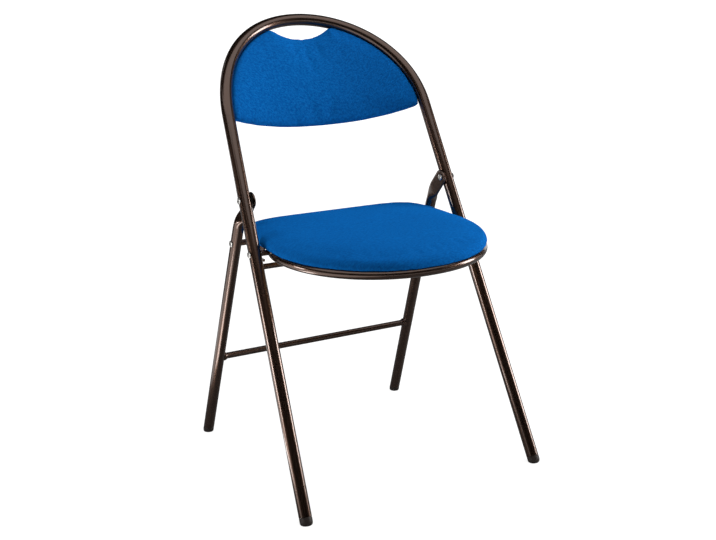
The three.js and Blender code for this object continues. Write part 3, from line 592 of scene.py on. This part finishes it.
class CHAIR_OT_stage(bpy.types.Operator):
    """Sets the camera, the lamps, the floor and the white background"""

    bl_idname = "chair.stage"
    bl_label = "Stage"

    def execute(self, context):
        scene = context.scene
        scene.view_settings.view_transform = "Standard"
        self.set_camera(scene)
        self.set_world(scene)
        self.set_floor()
        self.set_flags()
        for lamp in LAMPS:
            self.add_lamp(scene, *lamp)
        return {"FINISHED"}

    def set_camera(self, scene):
        """The photograph's view."""
        yaw, pitch, roll = (math.radians(turn) for turn in CAMERA_TURN)
        forward = Vector((math.sin(yaw) * math.cos(pitch), math.cos(yaw) * math.cos(pitch), -math.sin(pitch)))
        right = Vector((math.cos(yaw), -math.sin(yaw), 0.0))
        up = right.cross(forward)
        x = right * math.cos(roll) + up * math.sin(roll)
        y = up * math.cos(roll) - right * math.sin(roll)
        camera = bpy.data.objects.new("camera", bpy.data.cameras.new("camera"))
        camera.data.lens = CAMERA_LENS
        camera.data.sensor_width = 36.0
        turn = Matrix((x, y, -forward)).transposed().to_4x4()
        camera.matrix_world = Matrix.Translation(CAMERA_PLACE) @ turn
        scene.collection.objects.link(camera)
        scene.camera = camera

    def seen(self, tree):
        """One for the rays that show the background: those of the camera, of gloss and of glass."""
        rays = add_node(tree, "ShaderNodeLightPath").outputs
        pair = maths(tree, "MAXIMUM", rays["Is Camera Ray"], rays["Is Glossy Ray"])
        return maths(tree, "MAXIMUM", pair, rays["Is Transmission Ray"])

    def set_world(self, scene):
        """A plain soft light, and white where the camera or a reflection looks past the chair."""
        world = scene.world or bpy.data.worlds.new("studio")
        scene.world = world
        world.use_nodes = True
        tree = world.node_tree
        tree.nodes.clear()
        light, white = (
            add_node(tree, "ShaderNodeBackground", {"Color": WHITE, "Strength": strength}).outputs["Background"]
            for strength in (WORLD_LIGHT, 1.0)
        )
        both = mix_shaders(tree, self.seen(tree), light, white)
        add_node(tree, "ShaderNodeOutputWorld", links={"Surface": both})

    def set_floor(self):
        """A pale floor that the camera sees as nearly white, with the chair's shadow kept."""
        material, tree, shader = node_tree("pale floor")
        set_shader(shader, Base_Color=(0.82, 0.82, 0.82, 1.0), Roughness=0.9)
        spot = add_node(tree, "ShaderNodeTexCoord").outputs["Object"]
        away = add_node(tree, "ShaderNodeVectorMath", links={0: spot}, operation="LENGTH").outputs["Value"]
        span = {"From Min": 0.6, "From Max": 2.5, "To Min": 0.72, "To Max": 1.0}
        fade = add_node(tree, "ShaderNodeMapRange", span, {"Value": away}).outputs["Result"]
        level = maths(tree, "MULTIPLY", self.seen(tree), fade)
        glow = add_node(tree, "ShaderNodeEmission", {"Color": WHITE, "Strength": FLOOR_GLOW})
        both = mix_shaders(tree, level, shader.outputs["BSDF"], glow.outputs["Emission"])
        tree.links.new(both, tree.nodes["Material Output"].inputs["Surface"])
        bm = bmesh.new()
        add_square(bm, 30.0)
        add_object("floor", bm, material)

    def set_flags(self):
        """Black cloths that only gloss shows: round the chair but for a window behind, overhead and below."""
        wall, roof, mat = bmesh.new(), bmesh.new(), bmesh.new()
        for start, sweep, low, high in WALLS:
            x, y = WALL_RADIUS * math.cos(math.radians(start)), WALL_RADIUS * math.sin(math.radians(start))
            post = [wall.verts.new((x, y, z)) for z in (low, high)]
            spin(wall, post + [wall.edges.new(post)], (0, 0, 1), math.radians(sweep), sweep // 5, False)
        add_square(roof, *ROOF)
        for square in MATS:
            add_square(mat, *square)
        for name, bm, tint in (("flag wall", wall, 0.01), ("flag roof", roof, 0.01), ("flag mat", mat, 0.15)):
            material, tree, shader = node_tree(name + " cloth")
            set_shader(shader, Base_Color=(tint, tint, tint, 1.0), Roughness=1.0, Specular_IOR_Level=0.0)
            flag = add_object(name, bm, material)
            flag.visible_camera = flag.visible_diffuse = flag.visible_shadow = False
            flag.visible_transmission = False

    def add_lamp(self, scene, name, place, aim, width, height, power, in_gloss):
        """A soft rectangular lamp that faces its aim."""
        data = bpy.data.lights.new(name, "AREA")
        data.shape = "RECTANGLE"
        data.size, data.size_y, data.energy = width, height, power
        lamp = bpy.data.objects.new(name, data)
        turn = (Vector(aim) - Vector(place)).to_track_quat("-Z", "Y").to_matrix().to_4x4()
        lamp.matrix_world = Matrix.Translation(place) @ turn
        lamp.visible_camera = False
        lamp.visible_glossy = in_gloss
        scene.collection.objects.link(lamp)


def welded_bar(reach, radius, y, z, weld_at):
    """A bar along X whose ends swell into a bead of weld where they meet the tubes."""
    half = [(reach - weld_at + along * weld_at * WELD_SHARE, radius * (1 + swell)) for along, swell in WELD]
    whole = half + [(0.0, radius)] + [(-x, r) for x, r in reversed(half)]
    across, up = Vector((0, 1, 0)), Vector((0, 0, 1))
    bm = bmesh.new()
    loft(bm, [section(Vector((x, y, z)), across, up, r, r, BAR_SIDES) for x, r in whole])
    return bm


class CHAIR_OT_frame(bpy.types.Operator):
    """Makes the hoop of tube with its tabs, and the thin bar under the seat"""

    bl_idname = "chair.frame"
    bl_label = "Frame"

    def execute(self, context):
        at = layout(context.scene)
        hoop = at.hoop
        bm = bmesh.new()
        loft(bm, self.rows(at))
        for degrees in BACK_TABS:
            add_tab(bm, hoop, self.tab_place(at, math.radians(degrees)))
        finish_piece(at, "hoop_tube", bm, "main_frame", "frame_paint", "hoop_frame")
        length = at.seat_pivot - hoop.bar_drop
        bm = welded_bar(at.frame_half(length), hoop.bar / 2, hoop.bar_offset, length, FRONT_WELD)
        finish_piece(at, "front_bar", bm, "main_frame", "frame_paint", "front_crossbar")
        return {"FINISHED"}

    def rows(self, at):
        """Sections of the tube up one side, over the hoop and down the other side."""
        hoop = at.hoop
        foot = at.joint.foot_head
        side = Vector((-math.sin(at.taper), 0, math.cos(at.taper)))
        touch = hoop.hoop_height + hoop.hoop_radius * math.sin(at.taper)
        lengths = [foot + (touch - foot) * i / STRAIGHT_STEPS for i in range(STRAIGHT_STEPS)]
        places = [(Vector((at.frame_half(length), 0, length)), side) for length in lengths]
        for i in range(HOOP_STEPS + 1):
            angle = at.taper + (math.pi - 2 * at.taper) * i / HOOP_STEPS
            x = hoop.hoop_radius * math.cos(angle)
            z = hoop.hoop_height + hoop.hoop_radius * math.sin(angle)
            turn = Vector((-math.sin(angle), 0, math.cos(angle)))
            turn.y = math.tan(bow_turn(at, x)) * turn.x
            places.append((Vector((x, bow(at, x), z)), turn.normalized()))
        down = Vector((side.x, 0, -side.z))
        places += [(Vector((-at.frame_half(length), 0, length)), down) for length in reversed(lengths)]
        rows = []
        for place, turn in places:
            across = Vector((0, 1, 0)).cross(turn).normalized()
            rows.append(section(place, across, turn.cross(across), hoop.tube / 2, hoop.tube / 2, TUBE_SIDES))
        return rows

    def tab_place(self, at, angle):
        """Place of a tab that points inward from the hoop, behind the back pad."""
        hoop = at.hoop
        radius = hoop.hoop_radius - hoop.tab_length / 2
        depth = at.back.behind + CLEARANCE + hoop.tab_thickness / 2
        x, z = radius * math.cos(angle), hoop.hoop_height + radius * math.sin(angle)
        turn = bow_turn(at, x)
        spot = Vector((x - depth * math.sin(turn), bow(at, x) + depth * math.cos(turn), z))
        return Matrix.Translation(spot) @ Matrix.Rotation(turn, 4, "Z") @ Matrix.Rotation(-angle, 4, "Y")


class CHAIR_OT_rear_legs(bpy.types.Operator):
    """Makes the two rear legs with their flattened and bent tongues, and the bar between them"""

    bl_idname = "chair.rear_legs"
    bl_label = "Rear Legs"

    def execute(self, context):
        at = layout(context.scene)
        leg = at.leg
        for name, side in SIDES.items():
            bm = bmesh.new()
            loft(bm, self.rows(at, side))
            finish_piece(at, f"leg_tube_{name}", bm, "rear_legs", "frame_paint", f"rear_leg_{name}")
        bm = welded_bar(at.leg_half(leg.bar_length), leg.bar / 2, 0.0, leg.bar_length, leg.tube / 2 + REAR_WELD)
        finish_piece(at, "rear_bar", bm, "rear_legs", "frame_paint", "rear_crossbar")
        return {"FINISHED"}

    def rows(self, at, side):
        """Sections of a leg from the round end of its tongue down to its foot."""
        leg = at.leg
        radius = leg.tube / 2
        bend = math.atan2(-at.in_leg.x, leg.bend_length)
        tangent = leg.bend_radius * math.tan(bend / 2)
        start = leg.bend_length / math.cos(bend) - tangent
        tongue_half = math.pi * (leg.tube - 2 * leg.wall) / 4 + leg.wall
        outer = at.frame_half(at.leg_pivot) - at.hoop.tube / 2 - leg.washer - 2 * CLEARANCE
        middle = outer - leg.wall
        whole = start + leg.bend_radius * bend + at.in_leg.y - leg.bend_length - tangent
        straight = leg.round_length + ROUND_PAST
        lower = whole - at.joint.foot_head - straight
        steps = range(STRAIGHT_STEPS)
        lengths = [-leg.tongue_end * math.cos(math.radians(8 + 82 * i / STRAIGHT_STEPS)) for i in steps]
        lengths += [straight * i / LEG_STEPS for i in range(LEG_STEPS + 1)]
        lengths += [straight + lower * (i + 1) / STRAIGHT_STEPS for i in steps]
        rows = []
        for length in lengths:
            slant = bend - min(max((length - start) / leg.bend_radius, 0), bend)
            low = -min(length, start)
            y = -low * math.sin(bend) + leg.bend_radius * (math.cos(slant) - math.cos(bend))
            z = low * math.cos(bend) - leg.bend_radius * (math.sin(bend) - math.sin(slant))
            z -= max(length - start - leg.bend_radius * bend, 0)
            y, z = y + at.in_leg.x, z + at.in_leg.y
            span = min(max((length - leg.flat_length) / (leg.round_length - leg.flat_length), 0), 1)
            grown = span**3 * (span * (6 * span - 15) + 10)
            thick = leg.wall + (radius - leg.wall) * grown
            wide = tongue_half + (radius - tongue_half) * grown
            if length < 0:
                wide = tongue_half * math.sqrt(1 - (length / leg.tongue_end) ** 2)
            place = Vector((side * (middle + (at.leg_half(z) - middle) * grown), y, z))
            up = Vector((0, math.cos(slant), math.sin(slant)))
            power = TONGUE_POWER + (2 - TONGUE_POWER) * grown
            rows.append(section(place, Vector((side, 0, 0)), up, thick, wide, TUBE_SIDES, power))
        return rows


class CHAIR_OT_seat_ring(bpy.types.Operator):
    """Makes the round tube ring under the seat with its tabs, and the two spacers at its pivot"""

    bl_idname = "chair.seat_ring"
    bl_label = "Seat Ring"

    def execute(self, context):
        at = layout(context.scene)
        radius = at.seat.ring_tube / 2
        points = [self.ring_point(at, 2 * math.pi * i / RING_STEPS) for i in range(RING_STEPS)]
        rows = []
        for i, place in enumerate(points):
            along = (points[(i + 1) % RING_STEPS] - points[i - 1]).normalized()
            out = along.cross(Vector((0, 0, 1)))
            rows.append(section(place, out, Vector((0, 0, 1)), radius, radius, TUBE_SIDES))
        bm = bmesh.new()
        loft(bm, rows, closed=True)
        for degrees in SEAT_TABS:
            add_tab(bm, at.hoop, self.tab_place(at, math.radians(degrees)))
        finish_piece(at, "ring_tube", bm, "seat", "frame_paint", "seat_ring")
        for name, side in SIDES.items():
            self.make_spacer(at, name, side)
        return {"FINISHED"}

    def ring_point(self, at, angle):
        seat = at.seat
        front = math.sin(angle) < 0
        across, along = unit_point(angle, FRONT_POWER if front else RING_REAR_POWER)
        depth = seat.ring_front if front else seat.ring_rear
        return Vector((at.ring_half * across, depth * along - seat.ring_forward, 0))

    def tab_place(self, at, angle):
        """Place of a tab that points inward from the ring, flush with its top."""
        rim = self.ring_point(at, angle)
        inward = (Vector((0, -at.seat.ring_forward, 0)) - rim).normalized()
        spot = rim + inward * at.hoop.tab_length / 2
        spot.z = at.seat.ring_tube / 2 - at.hoop.tab_thickness / 2
        turn = Matrix.Rotation(math.atan2(inward.y, inward.x), 4, "Z") @ Matrix.Rotation(-math.pi / 2, 4, "X")
        return Matrix.Translation(spot) @ turn

    def make_spacer(self, at, name, side):
        inner, outer = ends(f"seat_bush_{name}")
        radius = at.joint.bush / 2
        profile = [(0.0, inner), (radius * 0.9, inner), (radius, inner + 0.0005)]
        profile += [(radius * wide, outer - back) for wide, back in SPACER] + [(0.0, outer)]
        bm = turned(profile, Matrix.Scale(side, 4, (1, 0, 0)))
        finish_piece(at, f"pivot_spacer_{name}", bm, "seat", "fittings", f"seat_bush_{name}")


class CHAIR_OT_rivets(bpy.types.Operator):
    """Makes the rivets of the pivots and the pins that slide in the slotted plates"""

    bl_idname = "chair.rivets"
    bl_label = "Rivets"

    def execute(self, context):
        at = layout(context.scene)
        for name, side in SIDES.items():
            for pivot, length in (("leg", at.leg_pivot), ("seat", at.seat_pivot)):
                self.make_rivet(at, f"{pivot}_pivot", name, side, length)
            self.make_pin(at, name, side)
        return {"FINISHED"}

    def make_rivet(self, at, label, name, side, length):
        node = f"{label}_rivet_{name}"
        inner, outer = ends(node)
        profile = list(reversed(self.head(at.joint, inner, -1))) + self.head(at.joint, outer, 1)
        bm = turned(profile, Matrix.Translation((0, 0, length)) @ Matrix.Scale(side, 4, (1, 0, 0)))
        finish_piece(at, f"{label}_stud_{name}", bm, "main_frame", "rivet_steel", node)

    def make_pin(self, at, name, side):
        """A pin with a bright head outside its leg and a painted sleeve inside it."""
        inner, outer = ends(f"slot_pin_{name}")
        face = at.leg_half(at.slot_pin) - at.leg.tube / 2 + SLEEVE_SUNK
        wide = SLEEVE_RADIUS
        profile = [
            (0.0, inner), (wide - 0.0008, inner), (wide, inner + 0.0008), (wide, face - 0.0052),
            (wide - 0.0005, face - 0.0048), (wide, face - 0.0044), (wide, face), (at.joint.shank / 2, face),
        ]
        profile += self.head(at.joint, outer, 1)
        bm = turned(profile, Matrix.Translation((0, 0, at.slot_pin)) @ Matrix.Scale(side, 4, (1, 0, 0)))
        pin = finish_piece(at, f"slot_stud_{name}", bm, "rear_legs", "rivet_steel", f"slot_pin_{name}")
        pin.data.materials.append(steel_material(at.finish))
        for polygon in pin.data.polygons:
            polygon.material_index = int(abs(polygon.center.x) < face)

    def head(self, joint, end, way):
        """The shank's end and a low domed head on it, from its rim to its middle."""
        base = end - way * joint.head_height
        rim = joint.head / 2
        rise = way * joint.head_height * joint.crown
        points = [(joint.shank / 2, base), (rim * 0.97, base), (rim, base + rise * 0.3)]
        for i in range(1, DOME_STEPS + 1):
            angle = math.pi / 2 * i / DOME_STEPS
            points.append((rim * math.cos(angle) * 0.98, base + rise * (0.3 + 0.7 * math.sin(angle))))
        points[-1] = (0.0, points[-1][1])
        return points


class CHAIR_OT_feet(bpy.types.Operator):
    """Makes the four domed plastic feet, cut flat where they stand"""

    bl_idname = "chair.feet"
    bl_label = "Feet"

    def execute(self, context):
        at = layout(context.scene)
        ranks = (("front", at.hoop, at.taper, "main_frame"), ("rear", at.leg, at.rear_taper, "rear_legs"))
        for name, side in SIDES.items():
            for rank, sizes, taper, body in ranks:
                foot = Matrix.Translation((side * sizes.feet_spacing / 2, 0, 0))
                foot = at.places[body] @ foot @ Matrix.Rotation(-side * taper, 4, "Y")
                self.make_foot(at, f"{rank}_cap_{name}", foot, sizes.tube / 2, body, f"{rank}_foot_{name}")
        return {"FINISHED"}

    def make_foot(self, at, name, place, outer, body, node):
        top = at.joint.foot_head - CLEARANCE
        profile = [(outer * wide, at.joint.foot_dome * high) for wide, high in FOOT]
        profile += [(outer, top - 0.0005), (outer - 0.0005, top), (0.0, top)]
        bm = turned(profile, Matrix.Rotation(-math.pi / 2, 4, "Y"))
        bmesh.ops.remove_doubles(bm, verts=bm.verts, dist=1e-6)
        bmesh.ops.transform(bm, matrix=place, verts=bm.verts)
        geom = bm.verts[:] + bm.edges[:] + bm.faces[:]
        made = bmesh.ops.bisect_plane(
            bm, geom=geom, plane_co=(0, 0, FLOOR_GAP), plane_no=(0, 0, -1), clear_outer=True
        )
        rim = [item for item in made["geom_cut"] if isinstance(item, bmesh.types.BMEdge)]
        bmesh.ops.edgeloop_fill(bm, edges=rim)
        finish_piece(at, name, bm, body, "foot_plastic", node, placed=True)


def inflate(piece, swell, free):
    """Pads the piece out by a cloth simulation under pressure, with no point moved further than the swell."""
    scene = bpy.context.scene
    mesh = piece.data
    group = piece.vertex_groups.new(name="held")
    for vert in mesh.vertices:
        group.add([vert.index], 1.0 - free(vert.co), "REPLACE")
    cloth = piece.modifiers.new("stuffing", "CLOTH")
    cloth.settings.use_pressure = True
    cloth.settings.uniform_pressure_force = 4.0
    cloth.settings.vertex_group_mass = "held"
    cloth.settings.tension_stiffness = 20.0
    cloth.settings.bending_stiffness = 5.0
    cloth.settings.effector_weights.gravity = 0.0
    cloth.point_cache.frame_start = 1
    cloth.point_cache.frame_end = SIMULATED_FRAMES
    for step in range(1, SIMULATED_FRAMES + 1):
        scene.frame_set(step)
    deps = bpy.context.evaluated_depsgraph_get()
    moved = [vert.co.copy() for vert in piece.evaluated_get(deps).data.vertices]
    piece.modifiers.remove(cloth)
    piece.vertex_groups.remove(group)
    scene.frame_set(1)
    for vert, now in zip(mesh.vertices, moved):
        rest = vert.co.copy()
        shift = now - rest
        reach = shift.length
        if reach > 0:
            shift *= swell * math.tanh(reach / swell) / reach
        vert.co = rest + shift * free(rest)
    mesh.update()


def settle(piece):
    """Puts the modifiers' result into the mesh."""
    deps = bpy.context.evaluated_depsgraph_get()
    deps.update()
    mesh = bpy.data.meshes.new_from_object(piece.evaluated_get(deps))
    piece.modifiers.clear()
    old = piece.data
    piece.data = mesh
    mesh.name = piece.name
    bpy.data.meshes.remove(old)


def soften(piece, times):
    bm = bmesh.new()
    bm.from_mesh(piece.data)
    for _ in range(times):
        bmesh.ops.smooth_vert(bm, verts=bm.verts, factor=0.5, use_axis_x=True, use_axis_y=True, use_axis_z=True)
    bm.to_mesh(piece.data)
    bm.free()


def cushion(at, name, rows, sizes, free, material, body, node):
    """A padded piece: a loft that is remeshed evenly, padded out and smoothed."""
    bm = bmesh.new()
    loft(bm, rows)
    clean(bm)
    piece = add_object(name, bm)
    remesh = piece.modifiers.new("even", "REMESH")
    remesh.mode = "VOXEL"
    remesh.voxel_size = sizes.voxel
    settle(piece)
    soften(piece, 3)
    inflate(piece, sizes.swell, free)
    soften(piece, 6)
    finer = piece.modifiers.new("finer", "SUBSURF")
    finer.levels = finer.render_levels = 1
    settle(piece)
    piece.data.transform(at.places[body])
    piece.data.materials.append(material)
    piece.data.shade_smooth()
    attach(piece, body)
    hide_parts(node)


class CHAIR_OT_seat_pad(bpy.types.Operator):
    """Makes the padded seat: a crowned cushion with drawn-in sides"""

    bl_idname = "chair.seat_pad"
    bl_label = "Seat Pad"

    def execute(self, context):
        at = layout(context.scene)
        seat = at.seat
        low = seat.ring_tube / 2 + CLEARANCE
        top = low + seat.pad_side * SEAT_EDGE[-1][1]
        draw = seat.pad_draw_in
        rows = [self.outline(at, draw + UNDER_SET_IN, low + BOARD_SHOWS, face) for face in SEAT_UNDER]
        rows += [self.outline(at, draw * inset, low + seat.pad_side * up, 1.0) for inset, up in SEAT_EDGE]
        rows += [self.outline(at, draw, top + seat.pad_crown * (1 - face**4), face) for face in SEAT_OVER]
        free = lambda spot: 1.0 if spot.z > low + seat.pad_side * SOFT_FROM else FIRM
        cloth = cloth_material(at.finish, "blue woven seat cloth", (0.0, 0.0, math.radians(4)))
        cushion(at, "seat_cushion", rows, seat, free, cloth, "seat", "seat_pad")
        return {"FINISHED"}

    def outline(self, at, inset, height, face):
        """The seat's outline at a height, set in and drawn towards its middle."""
        seat = at.seat
        half = (at.pad_half - inset) * face
        front = (seat.pad_front - inset) * face
        rear = (seat.pad_rear - inset) * face
        points = []
        for i in range(PAD_POINTS):
            angle = 2 * math.pi * i / PAD_POINTS
            power, depth = (FRONT_POWER, front) if math.sin(angle) < 0 else (PAD_REAR_POWER, rear)
            across, along = unit_point(angle, power)
            y = depth * along
            narrow = 1 - PAD_NARROWING * max(y, 0) / rear
            points.append(Vector((half * across * narrow, y - seat.pad_forward, height)))
        return points


class CHAIR_OT_back_pad(bpy.types.Operator):
    """Makes the half-moon back pad with its dip for the hand, bowed like the hoop"""

    bl_idname = "chair.back_pad"
    bl_label = "Back Pad"

    def execute(self, context):
        at = layout(context.scene)
        back = at.back
        draw = back.draw_in
        deep = back.behind + back.proud
        rear = -back.behind - BOARD_COVERED
        rows = [self.row(at, draw, face, rear) for face in BACK_REAR]
        rows += [self.row(at, draw * inset, 1.0, deep * depth - back.behind) for inset, depth in BACK_EDGE]
        rows += [self.row(at, draw, face, back.proud + back.crown * (1 - face**3)) for face in BACK_FRONT]
        free = lambda spot: 1.0 if bow(at, spot.x) - spot.y > back.proud * SOFT_FROM else FIRM
        cloth = cloth_material(at.finish, "blue woven back cloth", (math.radians(90), 0.0, 0.0))
        cushion(at, "back_cushion", rows, back, free, cloth, "main_frame", "back_pad")
        return {"FINISHED"}

    def row(self, at, inset, face, proud):
        """The back's outline, shrunk to a share of itself, on the bowed surface at a depth."""
        middle = Vector((0, (at.hoop.hoop_radius - at.back.set_in) * BACK_MIDDLE))
        points = []
        for spot in self.outline(at, inset):
            x, z = (spot - middle) * face + middle
            turn = bow_turn(at, x)
            y = bow(at, x) - proud * math.cos(turn)
            points.append(Vector((x + proud * math.sin(turn), y, at.hoop.hoop_height + z)))
        return points

    def outline(self, at, inset):
        """Half-disc outline with round lower corners and a dip for the hand."""
        back = at.back
        whole = at.hoop.hoop_radius - back.set_in
        radius = whole - inset
        low = back.lower_edge + inset
        corner = back.corner
        corner_x = math.sqrt((radius - corner) ** 2 - (low + corner) ** 2)
        corner_angle = math.atan2(low + corner, corner_x)
        dip_rise = math.sqrt(whole**2 - back.grip_half**2)
        dip_radius = (back.grip_half**2 + back.grip_depth**2) / (2 * back.grip_depth)
        dip_centre = dip_rise - back.grip_depth + dip_radius
        dip_reach = dip_radius + inset
        dip_top = (radius**2 - dip_reach**2 + dip_centre**2) / (2 * dip_centre)
        tip = math.asin(dip_top / radius)
        dip_angle = math.asin((dip_centre - dip_top) / dip_reach)
        half = self.arc(corner_x, low + corner, corner, -math.pi / 2, corner_angle, CORNER_STEPS)
        half += self.arc(0, 0, radius, corner_angle, tip, RIM_STEPS)[1:]
        half += self.arc(0, dip_centre, dip_reach, -dip_angle, -math.pi / 2, DIP_STEPS)[1:]
        mirrored = [Vector((-p.x, p.y)) for p in reversed(half[:-1])]
        across = [2 * i / LOWER_STEPS - 1 for i in range(1, LOWER_STEPS)]
        lower = [Vector((corner_x * part, low - back.sag * (1 - abs(part) ** 3))) for part in across]
        return half + mirrored + lower

    def arc(self, x, y, radius, start, end, steps):
        angles = [start + (end - start) * i / steps for i in range(steps + 1)]
        return [Vector((x + radius * math.cos(a), y + radius * math.sin(a))) for a in angles]


class CHAIR_OT_kept_parts(bpy.types.Operator):
    """Gives the boards, screws, washers and slotted plates of the frame their finishes"""

    bl_idname = "chair.kept_parts"
    bl_label = "Kept Parts"

    def execute(self, context):
        finishes = context.scene.chair_finish
        ply, plastic, steel = ply_material(finishes), plastic_material(finishes), steel_material(finishes)
        kinds = {"board": ply, "washer": plastic, "screw": steel, "slide_plate": steel}
        for name, node in frame["nodes"].items():
            finish = next((material for kind, material in kinds.items() if kind in name), None)
            if finish:
                node.data.materials.clear()
                node.data.materials.append(finish)
        return {"FINISHED"}


class CHAIR_PT_panel(bpy.types.Panel):
    """Lists the steps that dress the chair"""

    bl_idname = "CHAIR_PT_panel"
    bl_label = "Folding Chair"
    bl_space_type = "VIEW_3D"
    bl_region_type = "UI"
    bl_category = "Chair"

    def draw(self, context):
        steps = self.layout.column()
        for operator in OPERATORS:
            steps.operator(operator.bl_idname)
        for name in GROUPS:
            group = getattr(context.scene, name)
            box = self.layout.box()
            for key in group.__annotations__:
                box.prop(group, key)


OPERATORS = (
    CHAIR_OT_stage, CHAIR_OT_frame, CHAIR_OT_rear_legs, CHAIR_OT_seat_ring, CHAIR_OT_rivets, CHAIR_OT_feet,
    CHAIR_OT_seat_pad, CHAIR_OT_back_pad, CHAIR_OT_kept_parts,
)
GROUPS = {
    "chair_frame": FrameSizes, "chair_leg": LegSizes, "chair_seat": SeatSizes, "chair_back": BackSizes,
    "chair_joint": JointSizes, "chair_finish": Finishes,
}


CLASSES = (*GROUPS.values(), *OPERATORS, CHAIR_PT_panel)


def register():
    for kind in CLASSES:
        bpy.utils.register_class(kind)
    for name, group in GROUPS.items():
        setattr(bpy.types.Scene, name, PointerProperty(type=group))


def unregister():
    for name in GROUPS:
        delattr(bpy.types.Scene, name)
    for kind in reversed(CLASSES):
        bpy.utils.unregister_class(kind)


def main():
    register()
    bpy.ops.chair.stage()
    bpy.ops.chair.frame()
    bpy.ops.chair.rear_legs()
    bpy.ops.chair.seat_ring()
    bpy.ops.chair.rivets()
    bpy.ops.chair.feet()
    bpy.ops.chair.seat_pad()
    bpy.ops.chair.back_pad()
    bpy.ops.chair.kept_parts()


if __name__ == "__main__":
    main()
